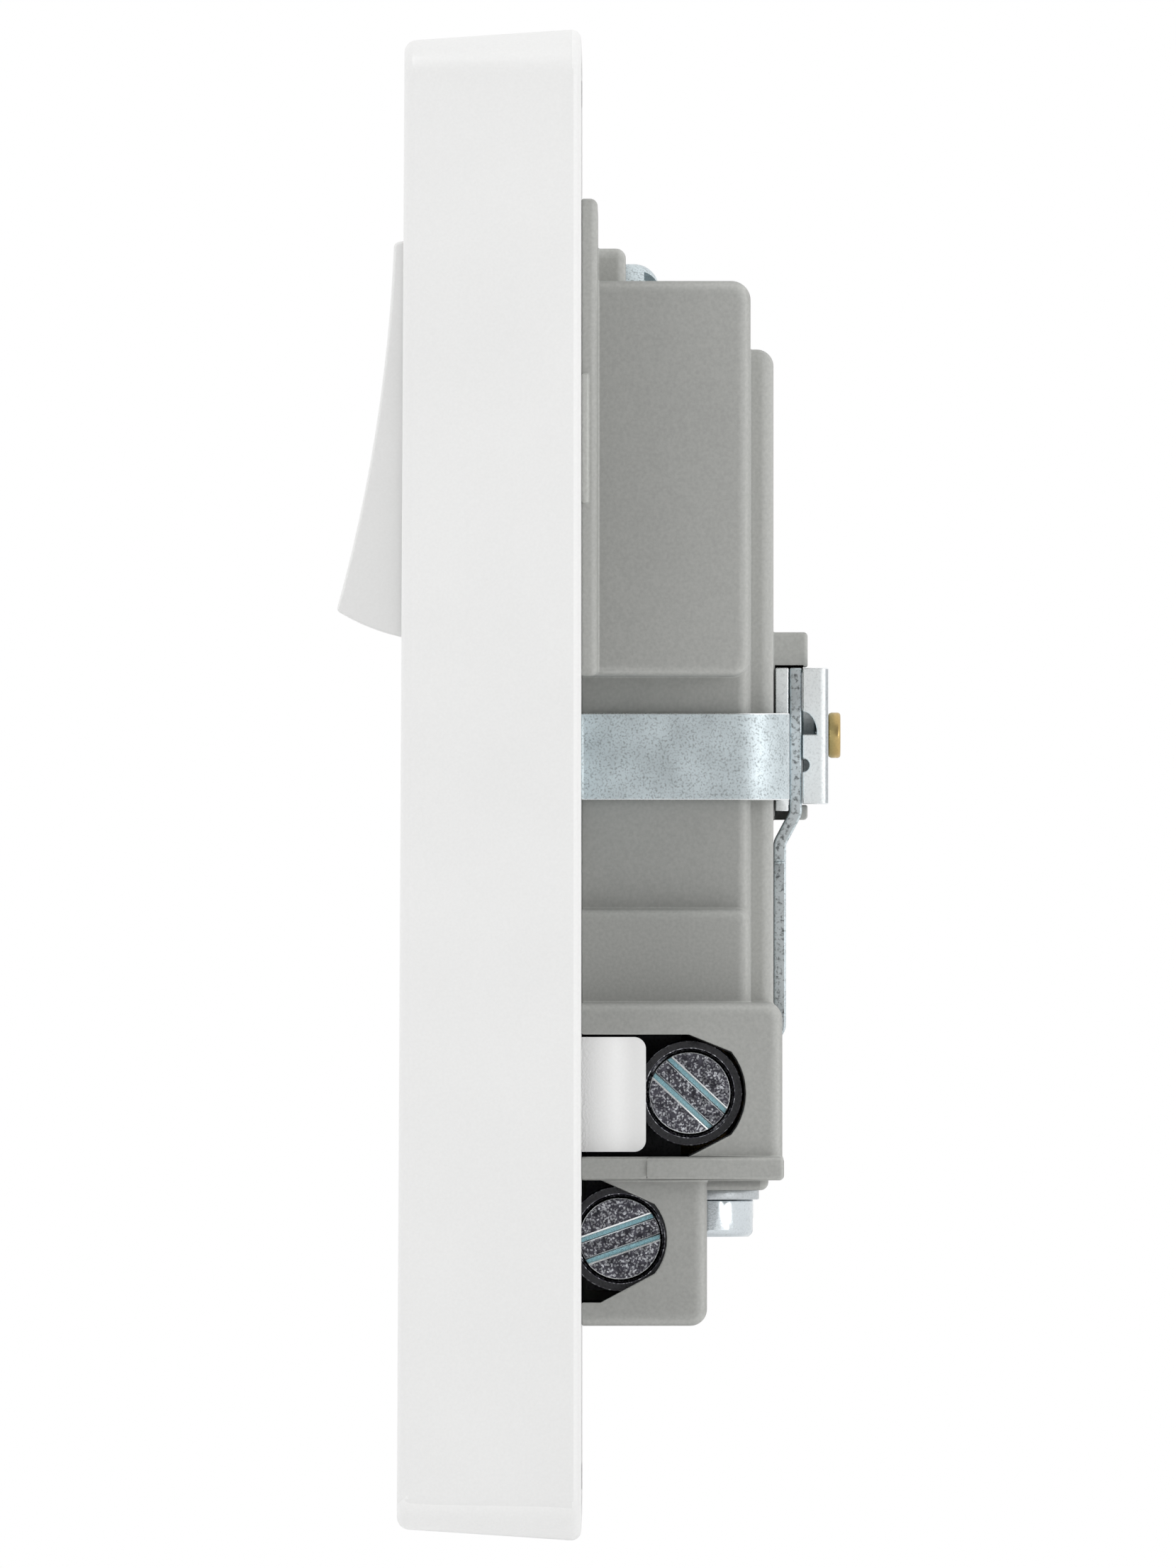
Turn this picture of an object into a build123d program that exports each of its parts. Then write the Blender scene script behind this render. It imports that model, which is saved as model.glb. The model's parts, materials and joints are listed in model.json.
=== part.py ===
from build123d import *
from math import cos, radians, sin, tan
import os

os.makedirs("parts", exist_ok=True)

# Switched wall socket with two usb ports, all sizes in millimetres.
# X is right and Z is up as seen from the front. Y runs into the wall, and y = 0 is the wall face.

# Fits
running_fit = 0.05
part_gap = 0.15
face_gap = 0.05

# Front plate
plate_width = 90.0
plate_height = 90.0
plate_depth = 10.75
plate_draft = 3.8
plate_wall = 2.0
plate_corner = 2.75
plate_front_round = 0.75
plate_rear_round = 0.6
face_lean = 0.3
frame_wall = 1.6
fixing_spacing = 60.3
fixing_hole_radius = 2.0
fixing_head_radius = 3.8
fixing_head_depth = 3.2
fixing_boss_radius = 4.4

# Plug pins and their slots
earth_z = 3.55
pin_drop = 22.2
pin_half_spacing = 11.1
pin_thickness = 4.0
earth_pin_height = 8.0
live_pin_width = 6.35
slot_margin = 0.3

# Rear housing, seen from the side
housing_wall = 1.4
flange_half_width = 33.2
flange_depth = 0.97
flange_top = 35.0
flange_round = 0.45
clip_depth = 0.4
clip_length = 7.7
clip_height = 0.6
box_half_width = 32.5
box_inner_x = 6.5
box_depth = 10.1
box_top = 30.1
box_bottom = 6.5
box_corner = 1.15
notch_half_width = 24.5
back_half_width = 20.0
back_depth = 11.5
back_top = 26.1
block_half_width = 27.0
block_top = -7.4
block_bottom = -13.0
terminal_half_width = 31.5
upper_housing_depth = 12.0
upper_housing_bottom = -22.2
rib_half_width = 32.5
rib_depth = 12.1
rib_thickness = 1.4
rib_step = 0.08
rib_round = 0.3
lower_housing_depth = 7.5
lower_housing_bottom = -32.3
recess_half_width = 18.0
recess_floor = 1.2
ledge_depth = 11.2
ledge_drop = 0.7
ledge_round = 0.5
housing_corner = 1.0
housing_edge = 0.8

# Earth pocket on the back
pocket_half_width = 4.3
pocket_depth = 13.6
pocket_top = 9.2
pocket_bottom = -2.1
pocket_round = 0.25
peg_half_width = 2.0

# Terminals
upper_screw_y = 6.47
upper_screw_z = -18.4
lower_screw_y = 2.3
lower_screw_z = -27.1
terminal_radius = 3.15
terminal_bore = 2.5
terminal_relief = 0.15
relief_depth = 0.8
terminal_outer_x = 30.2
terminal_end_wall = 0.9
wire_hole_radius = 1.6
wire_entry_radius = 2.2
screw_length = 3.1
screw_slot_width = 1.0
screw_slot_depth = 0.9
screw_slot_chamfer = 0.34
upper_slot_angle = -43.0
lower_slot_angle = 19.0
pad_thickness = 0.5
pad_margin = 0.2
nose_share = 0.74
upper_mouth_reach = 3.35
lower_mouth_reach = 2.8
window_rise = 3.5
window_drop = 3.8
leg_depth = 3.85
leg_height = 6.85
leg_thickness = 0.95
leg_round = 0.7

# Contacts
strip_thickness = 0.8
strip_width = 4.0
web_thickness = 0.7
web_front = 0.3
leaf_thickness = 0.6
leaf_mouth = -6.3
leaf_pinch = 0.15
leaf_flare = 0.7
earth_base = 0.4
earth_leaf_mouth = -2.0
earth_half_height = 3.4

# Rocker switch
rocker_x = 19.0
rocker_z = 20.7
rocker_tilt = 8.9
rocker_width = 10.6
rocker_radius = 12.1
rocker_face = 4.75
rocker_dish = 0.65
rocker_tip_round = 0.3
rocker_wall = 1.3
rocker_gap = 0.3
pivot_depth = 2.5
trunnion_radius = 1.2
trunnion_length = 1.4
cheek_thickness = 1.6
cheek_half_height = 3.2
cheek_depth = 3.6
tube_radius = 2.7
tube_reach = 6.0
plunger_radius = 1.7
plunger_reach = 12.7
plunger_throat = 8.4
spring_wire = 0.35
spring_turns = 5
blade_thickness = 1.2
blade_tilt = 6.0
blade_upper = 7.4
blade_lower = 6.0
tip_arm = 6.0
tip_radius = 1.4
tip_thickness = 0.7
ridge_half_width = 1.1
ridge_radius = 0.45

# Shutter
shutter_thickness = 1.6
shutter_travel = 5.65
shutter_half_width = 15.2
shutter_stem_half_width = 4.2
shutter_wedge_half_width = 1.8
shutter_margin = 0.5
shutter_spring_turns = 6

# Usb supply
usb_x = -19.0
usb_pitch = 9.8
usb_width = 13.1
usb_height = 5.72
usb_shell = 0.3
usb_recess = 0.3
usb_reach = 13.65
tongue_width = 11.1
tongue_thickness = 1.84
tongue_lift = 0.9
tongue_setback = 2.0
tongue_base = 3.0
usb_pin_width = 1.0
usb_pin_thickness = 0.2
usb_pin_pitch = 2.3
board_thickness = 1.2
board_post_radius = 1.1
board_post_inset = 1.9
transformer_width = 12.0
transformer_height = 10.0
transformer_depth = 3.8
core_width = 8.4
capacitor_radius = 1.6
capacitor_length = 7.0
capacitor_pitch = 5.0

# Earth metalwork
strap_thickness = 0.8
strap_width = 5.2
strap_centre_z = 1.7
strap_front_bend = 0.55
strap_rear_bend = 2.7
fork_half_width = 5.0
fork_inner_x = 1.9
fork_bridge = 0.85
lug_inner_x = 2.8
lug_drop = 0.68
eyelet_radius = 4.1
bar_thickness = 0.75
bar_half_width = 4.9
bar_boss_radius = 1.45
bar_shoulder = -4.6
tail_width = 5.2
tail_joggle_top = -1.7
tail_joggle_bottom = -3.5
tail_bottom = -15.15
bracket_thickness = 0.7
bracket_rear = 14.84
bracket_half_width = 5.15
bracket_top = 7.05
bracket_bottom = -1.15
bracket_bend = 0.5
bracket_slot_z = 3.05
bracket_slot_depth = 0.85
bracket_slot_height = 1.35
bracket_nick_z = 1.2
bracket_nick_radius = 0.4
rivet_head_radius = 1.375
rivet_head_height = 0.75
rivet_radius = 0.9
rivet_z = 3.0
earth_screw_x = 3.4
earth_screw_y = 7.6
earth_head_radius = 2.73
earth_head_height = 2.2
earth_washer_radius = 3.07
earth_washer_thickness = 0.7
earth_thread_radius = 1.7
earth_thread_length = 7.0
earth_block_half_width = 6.6
earth_block_height = 7.2

# Assembly screws
top_screw_z = 28.8
low_screw_x = 13.0
low_screw_z = -29.6
pan_radius = 2.6
pan_height = 2.0
pan_round = 1.5
pan_slot_width = 0.8
pan_slot_depth = 0.9
pan_slot_angle = 50.0
assembly_thread_radius = 1.4
assembly_thread_length = 8.0
top_boss_half_width = 4.2
top_boss_depth = 2.65
top_boss_top = 32.3
top_boss_round = 0.6
pillar_radius = 2.1

# Places worked out from the sizes above
front_y = -plate_depth
wall_y = front_y + plate_wall
live_z = earth_z - pin_drop
pivot_y = front_y + pivot_depth
box_floor = box_depth - housing_wall
upper_floor = upper_housing_depth - housing_wall
lower_floor = lower_housing_depth - housing_wall
rib_bottom = upper_housing_bottom - rib_thickness
ledge_bottom = rib_bottom - ledge_drop
inner_notch_x = notch_half_width - housing_wall
web_rear = lower_floor - part_gap
web_x = inner_notch_x - 2 * face_gap - web_thickness
terminal_inner_x = web_x + web_thickness + face_gap
strip_rear = box_floor - face_gap
strip_front = strip_rear - strip_thickness
wire_x = terminal_inner_x + terminal_end_wall + wire_hole_radius
screw_inner_x = terminal_outer_x - screw_length
mouth_x = terminal_outer_x + part_gap
fixing_x = fixing_spacing / 2
eyelet_front = -strap_thickness
blade_front = pivot_y + plunger_reach + part_gap
blade_rear = blade_front + blade_thickness
board_front = front_y + usb_recess + usb_reach
board_rear = board_front + board_thickness
board_low_x = -box_half_width + housing_wall + part_gap
board_high_x = -box_inner_x - housing_wall - part_gap
board_low_z = box_bottom + housing_wall + part_gap
board_high_z = box_top - housing_wall - part_gap
shutter_front = wall_y + part_gap
shutter_rear = shutter_front + shutter_thickness
slot_half_height = pin_thickness / 2 + slot_margin
shutter_low = live_z - slot_half_height - shutter_margin
shutter_high = live_z + slot_half_height + shutter_margin
shutter_spring_floor = lower_housing_bottom + frame_wall
strap_bottom = strap_centre_z - strap_width / 2
strap_rear_y = back_depth + part_gap
strap_back = strap_rear_y + strap_thickness
bar_front = strap_back + face_gap
bar_back = bar_front + bar_thickness
earth_block_top = tail_bottom - bar_thickness / 2 - face_gap
earth_block_bottom = earth_block_top - earth_block_height


# Helpers
def depth_plane(y):
    """Plane parallel to the wall at depth y, drawn in x and z; minus extrudes deeper."""
    return Plane.XZ.offset(-y)


def side_plane(x):
    """Plane seen from the right at x, drawn in y and z; plus extrudes to the right."""
    return Plane.YZ.offset(x)


def level_plane(z):
    """Horizontal plane at height z, drawn in x and y; plus extrudes upwards."""
    return Plane.XY.offset(z)


def span(low_u, high_u, low_v, high_v):
    """Rectangle between two corners in the sketch that is open."""
    with Locations(((low_u + high_u) / 2, (low_v + high_v) / 2)):
        Rectangle(high_u - low_u, high_v - low_v)


def housing_outline():
    """Outline of the rear housing on the wall face, in the sketch that is open."""
    span(-flange_half_width, flange_half_width, box_bottom, flange_top)
    span(-notch_half_width, notch_half_width, block_bottom, box_bottom)
    span(-block_half_width, block_half_width, block_bottom, block_top)
    span(-terminal_half_width, terminal_half_width, lower_housing_bottom, block_bottom)


def moulded_block(inner_x, outer_x, front, depth, low, high, corner, edge):
    """Block of the rear housing with rounded rear corners and a rounded outer side."""
    with BuildPart() as block:
        with BuildSketch(side_plane(inner_x)) as profile:
            span(front, depth, low, high)
            fillet(profile.vertices().group_by(Axis.X)[-1], radius=corner)
        extrude(amount=outer_x - inner_x)
        outer_side = block.faces().sort_by(Axis.X)[-1]
        fillet(outer_side.edges().sort_by(Axis.Y)[1:], radius=edge)
    return block.part


def terminal_pocket(side, screw_y, screw_z, mouth_reach):
    """Room for a terminal on one side, open towards the plate, with its mouth in the side wall."""
    room_reach = terminal_radius + part_gap
    steps = ((inner_notch_x, mouth_x, room_reach), (mouth_x, rib_half_width, mouth_reach))
    with BuildPart() as pocket:
        for start_x, end_x, reach in steps:
            shoulder = reach * nose_share
            bend_y = screw_y + 2 * (reach - room_reach) - part_gap
            with BuildSketch(side_plane(side * start_x)):
                with BuildLine():
                    top = Polyline(
                        (-plate_wall, screw_z + window_rise),
                        (bend_y, screw_z + window_rise),
                        (screw_y + shoulder, screw_z + shoulder),
                    )
                    nose = ThreePointArc(
                        top @ 1,
                        (screw_y + reach, screw_z),
                        (screw_y + shoulder, screw_z - shoulder),
                    )
                    Polyline(
                        nose @ 1,
                        (bend_y, screw_z - window_drop),
                        (-plate_wall, screw_z - window_drop),
                        top @ 0,
                    )
                make_face()
            extrude(amount=side * (end_x - start_x))
    return pocket.part


def finish(piece, name):
    """Name a finished piece and write it to its file."""
    piece.part.label = name
    export_step(piece.part, f"parts/{name}.step")


# Front plate: drafted shell with the pin slots, rocker well, usb windows and fixing bosses
lean_rise = plate_height * tan(radians(face_lean))
face_plane = Plane(
    origin=(0, front_y, 0),
    x_dir=(1, 0, 0),
    z_dir=(0, -cos(radians(face_lean)), sin(radians(face_lean))),
)
usb_heights = (rocker_z - usb_pitch / 2, rocker_z + usb_pitch / 2)
rocker_window_half = rocker_radius + rocker_gap
cheek_x = rocker_width / 2 + rocker_gap
assembly_places = ((0, top_screw_z), (-low_screw_x, low_screw_z), (low_screw_x, low_screw_z))
board_posts = (
    (board_high_x - board_post_inset, board_low_z + board_post_inset),
    (board_high_x - board_post_inset, board_high_z - board_post_inset),
)

with BuildPart() as front_plate:
    with BuildSketch(Plane.XZ) as rim:
        Rectangle(plate_width, plate_height)
        fillet(rim.vertices(), radius=plate_corner)
    extrude(amount=plate_depth + lean_rise, taper=plate_draft)
    split(bisect_by=face_plane, keep=Keep.BOTTOM)
    fillet(front_plate.faces().sort_by(Axis.Y)[0].edges(), radius=plate_front_round)
    fillet(front_plate.faces().sort_by(Axis.Y)[-1].edges(), radius=plate_rear_round)
    with BuildSketch(Plane.XZ) as hollow:
        Rectangle(plate_width - 2 * plate_wall, plate_height - 2 * plate_wall)
        fillet(hollow.vertices(), radius=plate_corner - plate_wall / 2)
    extrude(amount=plate_depth - plate_wall, taper=plate_draft, mode=Mode.SUBTRACT)
    # Frame that the rear housing closes
    with BuildSketch(Plane.XZ):
        housing_outline()
        offset(amount=-frame_wall, kind=Kind.INTERSECTION, mode=Mode.SUBTRACT)
    extrude(amount=plate_depth - plate_wall / 2)
    with BuildSketch(side_plane(terminal_half_width)):
        span(
            lower_screw_y - terminal_radius - 2 * part_gap,
            plate_wall,
            lower_screw_z - window_drop,
            lower_screw_z + window_rise,
        )
    extrude(amount=-2 * terminal_half_width, mode=Mode.SUBTRACT)
    # Bosses for the fixing screws and pillars for the assembly screws
    with BuildSketch(depth_plane(eyelet_front)):
        with Locations((-fixing_x, 0), (fixing_x, 0)):
            Circle(fixing_boss_radius)
    extrude(amount=plate_depth - plate_wall / 2 - strap_thickness)
    with BuildSketch(Plane.XZ):
        with Locations(*assembly_places):
            Circle(pillar_radius)
    extrude(amount=plate_depth - plate_wall / 2)
    # Posts that hold the usb board from the front
    with BuildSketch(depth_plane(board_front - face_gap)):
        with Locations(*board_posts):
            Circle(board_post_radius)
    extrude(amount=board_front - face_gap - wall_y + plate_wall / 2)
    # Cheeks that carry the rocker's trunnions, open to the rear
    with BuildSketch(depth_plane(pivot_y + cheek_depth)):
        for side in (-1, 1):
            cheek_middle = rocker_x + side * (cheek_x + cheek_thickness / 2)
            with Locations((cheek_middle, rocker_z)):
                Rectangle(cheek_thickness, 2 * cheek_half_height)
    extrude(amount=pivot_depth + cheek_depth - plate_wall / 2)
    with BuildSketch(side_plane(rocker_x)):
        with Locations((pivot_y, rocker_z)):
            Circle(trunnion_radius + running_fit)
        span(
            pivot_y,
            pivot_y + 2 * cheek_depth,
            rocker_z - trunnion_radius - running_fit,
            rocker_z + trunnion_radius + running_fit,
        )
    extrude(amount=cheek_x + cheek_thickness, both=True, mode=Mode.SUBTRACT)
    # Rails that guide the shutter
    with BuildSketch(depth_plane(shutter_rear)):
        for side in (-1, 1):
            rail_inner = shutter_half_width + part_gap
            rail_low = min(side * rail_inner, side * (rail_inner + frame_wall))
            span(rail_low, rail_low + frame_wall, shutter_low - shutter_travel, shutter_high)
    extrude(amount=shutter_thickness + part_gap + plate_wall / 2)
    # Openings through the face
    with BuildSketch(depth_plane(wall_y)):
        with Locations((rocker_x, rocker_z)):
            Rectangle(rocker_width + 2 * rocker_gap, 2 * rocker_window_half)
        for usb_z in usb_heights:
            with Locations((usb_x, usb_z)):
                Rectangle(usb_width + 2 * part_gap, usb_height + 2 * part_gap)
        with Locations((0, earth_z)):
            Rectangle(pin_thickness + 2 * slot_margin, earth_pin_height + 2 * slot_margin)
        with Locations((-pin_half_spacing, live_z), (pin_half_spacing, live_z)):
            Rectangle(live_pin_width + 2 * slot_margin, pin_thickness + 2 * slot_margin)
    extrude(amount=2 * plate_wall, both=True, mode=Mode.SUBTRACT)
    # Holes for the fixing screws with room for their heads, and pilot holes in the pillars
    with BuildSketch(Plane.XZ):
        with Locations((-fixing_x, 0), (fixing_x, 0)):
            Circle(fixing_hole_radius)
    extrude(amount=2 * plate_depth, mode=Mode.SUBTRACT)
    with BuildSketch(depth_plane(front_y + fixing_head_depth)):
        with Locations((-fixing_x, 0), (fixing_x, 0)):
            Circle(fixing_head_radius)
    extrude(amount=plate_depth, mode=Mode.SUBTRACT)
    with BuildSketch(Plane.XZ):
        with Locations(*assembly_places):
            Circle(assembly_thread_radius + running_fit)
    extrude(amount=assembly_thread_length, mode=Mode.SUBTRACT)
    # White legs that fill the front of the upper terminal openings
    leg_outer_x = terminal_half_width - part_gap
    leg_top = upper_screw_z + window_rise - part_gap
    with BuildSketch(side_plane(leg_outer_x)) as leg:
        span(-plate_wall, leg_depth, leg_top - leg_height, leg_top)
        fillet(leg.vertices().group_by(Axis.X)[-1], radius=leg_round)
    extrude(amount=-leg_thickness)
    with BuildSketch(side_plane(-leg_outer_x)) as left_leg:
        span(-plate_wall, leg_depth, leg_top - leg_height, leg_top)
        fillet(left_leg.vertices().group_by(Axis.X)[-1], radius=leg_round)
    extrude(amount=leg_thickness)
finish(front_plate, "front_plate")

# Rocker, tilted to its off position with the lower end out
tilt_y = cos(radians(rocker_tilt))
tilt_z = -sin(radians(rocker_tilt))
rocker_pivot = (rocker_x, pivot_y, rocker_z)
rocker_side = Plane(origin=rocker_pivot, x_dir=(0, tilt_y, tilt_z), z_dir=(1, 0, 0))
plunger_plane = Plane(origin=rocker_pivot, x_dir=(1, 0, 0), z_dir=(0, tilt_y, tilt_z))
rocker_end = (rocker_radius**2 - rocker_face**2) ** 0.5
inner_radius = rocker_radius - rocker_wall
inner_face = rocker_face - rocker_wall - rocker_dish
inner_end = (inner_radius**2 - inner_face**2) ** 0.5


def around_pivot(radius, forward, side=1):
    """Point of a circle about the rocker's pivot, a distance forward of it."""
    return (-forward, side * (radius**2 - forward**2) ** 0.5)


with BuildPart() as rocker:
    with BuildSketch(rocker_side):
        with BuildLine():
            dish = ThreePointArc(
                (-rocker_face, -rocker_end),
                (-rocker_face + rocker_dish, 0),
                (-rocker_face, rocker_end),
            )
            upper_end = ThreePointArc(
                dish @ 1,
                around_pivot(rocker_radius, rocker_face / 2),
                (0, rocker_radius),
            )
            Line(upper_end @ 1, (0, -rocker_radius))
            ThreePointArc(
                (0, -rocker_radius),
                around_pivot(rocker_radius, rocker_face / 2, -1),
                dish @ 0,
            )
        make_face()
    extrude(amount=rocker_width / 2, both=True)
    tip_edges = rocker.edges().filter_by(Axis.X)
    fillet([tip_edges.sort_by(Axis.Y)[0], tip_edges.sort_by(Axis.Z)[-2]], radius=rocker_tip_round)
    with BuildSketch(rocker_side):
        with BuildLine():
            inner_top = Line((-inner_face, -inner_end), (-inner_face, inner_end))
            inner_upper = ThreePointArc(
                inner_top @ 1,
                around_pivot(inner_radius, inner_face / 2),
                (0, inner_radius),
            )
            Line(inner_upper @ 1, (0, -inner_radius))
            ThreePointArc(
                (0, -inner_radius),
                around_pivot(inner_radius, inner_face / 2, -1),
                inner_top @ 0,
            )
        make_face()
    extrude(amount=rocker_width / 2 - rocker_wall, both=True, mode=Mode.SUBTRACT)
    with BuildSketch(plunger_plane.offset(-inner_face)):
        Circle(tube_radius)
    extrude(amount=inner_face + tube_reach)
    with BuildSketch(plunger_plane.offset(-inner_face)):
        Circle(plunger_radius + running_fit)
    extrude(amount=inner_face + tube_reach, mode=Mode.SUBTRACT)
    with BuildSketch(rocker_side):
        Circle(trunnion_radius)
    extrude(amount=rocker_width / 2 + rocker_gap + trunnion_length, both=True)
    with BuildSketch(plunger_plane.offset(-inner_face)):
        Circle(plunger_radius + running_fit)
    extrude(amount=inner_face + tube_reach, mode=Mode.SUBTRACT)
finish(rocker, "rocker")

# Plunger in the rocker's tube, round at its tip, and the spring behind it
plunger_back = plunger_reach - plunger_throat
with BuildPart() as rocker_plunger:
    with BuildSketch(plunger_plane.offset(plunger_back)):
        Circle(plunger_radius)
    extrude(amount=plunger_throat - plunger_radius)
    with Locations(Location(plunger_plane.offset(plunger_reach - plunger_radius))):
        Sphere(plunger_radius)
finish(rocker_plunger, "rocker_plunger")


def coil_spring(base, coil_radius, length, turns):
    """Round-wire compression spring that stands on the base plane."""
    pitch = (length - spring_wire) / turns
    with BuildPart() as upright:
        with BuildLine(Plane.XY.offset(spring_wire / 2)) as coil:
            Helix(pitch=pitch, height=pitch * turns, radius=coil_radius)
        with BuildSketch(Plane(coil.line @ 0, z_dir=coil.line % 0)):
            Circle(spring_wire / 2)
        sweep(is_frenet=True)
    with BuildPart() as spring:
        with Locations(base.location):
            add(upright.part)
    return spring


rocker_spring = coil_spring(
    plunger_plane.offset(-inner_face + face_gap),
    plunger_radius - spring_wire / 2 - part_gap,
    plunger_back + inner_face - 2 * face_gap,
    spring_turns,
)
finish(rocker_spring, "rocker_spring")

# Switch blade with a groove that rocks on the line contact's ridge, tilted to the off position
blade_pivot = (rocker_x, blade_rear, rocker_z)
blade_y = cos(radians(blade_tilt))
blade_z = sin(radians(blade_tilt))
blade_side = Plane(origin=blade_pivot, x_dir=(0, blade_y, blade_z), z_dir=(1, 0, 0))
blade_back = Plane(origin=blade_pivot, x_dir=(1, 0, 0), z_dir=(0, blade_y, blade_z))

with BuildPart() as switch_blade:
    with BuildSketch(blade_side) as blade_profile:
        span(-blade_thickness, 0, -blade_lower, blade_upper)
        fillet(blade_profile.vertices(), radius=blade_thickness / 3)
        Circle(ridge_radius + running_fit, mode=Mode.SUBTRACT)
    extrude(amount=strip_width / 2, both=True)
finish(switch_blade, "switch_blade")

with BuildPart() as blade_tip:
    with BuildSketch(blade_back):
        with Locations((0, -tip_arm)):
            Circle(tip_radius)
    extrude(amount=tip_thickness)
    fillet(blade_tip.edges().sort_by(Axis.Y)[-1], radius=tip_thickness / 3)
finish(blade_tip, "blade_tip")

# Feed contact: plate behind the blade's tip and the web down to the two line terminals
closed_tip_y = blade_rear + tip_arm * blade_z + tip_thickness * blade_y + tip_radius * blade_z
feed_tip_y = closed_tip_y + face_gap
feed_plate_y = feed_tip_y + tip_thickness
feed_top = rocker_z + tip_arm + tip_radius
feed_low = rocker_z + tip_arm - tip_radius
web_low = lower_screw_z - terminal_radius

with BuildPart() as feed_tip:
    with BuildSketch(depth_plane(feed_tip_y)):
        with Locations((rocker_x, rocker_z + tip_arm)):
            Circle(tip_radius)
    extrude(amount=-tip_thickness)
finish(feed_tip, "feed_tip")

with BuildPart() as feed_contact:
    with BuildSketch(depth_plane(feed_plate_y)):
        span(rocker_x - strip_width / 2, web_x + web_thickness, feed_low, feed_top)
    extrude(amount=feed_plate_y - strip_rear)
    with BuildSketch(side_plane(web_x)):
        span(web_front, web_rear, web_low, feed_top)
        span(web_front, strip_rear, feed_low, feed_top)
    extrude(amount=web_thickness)
finish(feed_contact, "feed_contact")


# Contacts that grip the line and neutral pins
def pin_leaves():
    """Two spring leaves above and below a flat pin, in the side sketch that is open."""
    grip = pin_thickness / 2 - leaf_pinch
    for turn in (-1, 1):
        Polygon(
            (strip_front, live_z + turn * (pin_thickness / 2 + leaf_pinch)),
            (0, live_z + turn * grip),
            (leaf_mouth, live_z + turn * (grip + leaf_flare)),
            (leaf_mouth, live_z + turn * (grip + leaf_flare + leaf_thickness)),
            (0, live_z + turn * (grip + leaf_thickness)),
            (strip_front, live_z + turn * (pin_thickness / 2 + leaf_pinch + leaf_thickness)),
            align=None,
        )


leaf_half = pin_thickness / 2 + leaf_pinch + leaf_thickness
leaf_half_width = live_pin_width / 2
line_strip_low_x = rocker_x - strip_width / 2
line_strip_high_x = rocker_x + strip_width / 2

with BuildPart() as line_contact:
    with BuildSketch(side_plane(pin_half_spacing)):
        pin_leaves()
    extrude(amount=leaf_half_width, both=True)
    with BuildSketch(depth_plane(strip_front)):
        span(
            pin_half_spacing - leaf_half_width,
            line_strip_high_x,
            live_z - leaf_half,
            live_z + leaf_half,
        )
        span(line_strip_low_x, line_strip_high_x, live_z, rocker_z + strip_width)
    extrude(amount=-strip_thickness)
    with BuildSketch(side_plane(rocker_x)):
        with BuildLine():
            Polyline(
                (strip_front, rocker_z - ridge_half_width),
                (blade_rear + ridge_radius / 2, rocker_z - ridge_radius),
                (blade_rear + ridge_radius / 2, rocker_z + ridge_radius),
                (strip_front, rocker_z + ridge_half_width),
                close=True,
            )
        make_face()
        with Locations((blade_rear, rocker_z)):
            Circle(ridge_radius)
    extrude(amount=strip_width / 2, both=True)
finish(line_contact, "line_contact")

with BuildPart() as neutral_contact:
    with BuildSketch(side_plane(-pin_half_spacing)):
        pin_leaves()
    extrude(amount=leaf_half_width, both=True)
    with BuildSketch(depth_plane(strip_front)):
        span(
            -web_x - web_thickness,
            -pin_half_spacing + leaf_half_width,
            live_z - leaf_half,
            live_z + leaf_half,
        )
    extrude(amount=-strip_thickness)
    with BuildSketch(side_plane(-web_x)):
        span(web_front, strip_rear, live_z - leaf_half, live_z + leaf_half)
        span(web_front, web_rear, web_low, live_z + leaf_half)
    extrude(amount=-web_thickness)
finish(neutral_contact, "neutral_contact")

# Contact that grips the earth pin: two leaves with feet on the strap
earth_back_y = strap_rear_y - face_gap
earth_half_gap = pin_thickness / 2 + leaf_pinch
earth_grip = pin_thickness / 2 - leaf_pinch
earth_room = earth_half_gap + leaf_thickness + leaf_flare
earth_foot_x = earth_room - part_gap

with BuildPart() as earth_contact:
    with BuildSketch(level_plane(earth_z)):
        for turn in (-1, 1):
            with BuildLine():
                Polyline(
                    (turn * earth_half_gap, earth_back_y),
                    (turn * earth_grip, upper_screw_y - strip_width),
                    (turn * (earth_grip + leaf_flare), earth_leaf_mouth),
                    (turn * (earth_grip + leaf_flare + leaf_thickness), earth_leaf_mouth),
                    (turn * (earth_grip + leaf_thickness), upper_screw_y - strip_width),
                    (turn * (earth_half_gap + leaf_thickness), earth_back_y),
                    close=True,
                )
            make_face()
        span(-earth_foot_x, -earth_half_gap, earth_back_y - earth_base, earth_back_y)
        span(earth_half_gap, earth_foot_x, earth_back_y - earth_base, earth_back_y)
    extrude(amount=earth_half_height, both=True)
finish(earth_contact, "earth_contact")

# Terminals: tube with a wire hole across it, pressure pad and slotted screw
terminal_places = (
    ("line", "upper", 1, upper_screw_y, upper_screw_z, upper_slot_angle),
    ("line", "lower", 1, lower_screw_y, lower_screw_z, lower_slot_angle),
    ("neutral", "upper", -1, upper_screw_y, upper_screw_z, upper_slot_angle),
    ("neutral", "lower", -1, lower_screw_y, lower_screw_z, lower_slot_angle),
)

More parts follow.
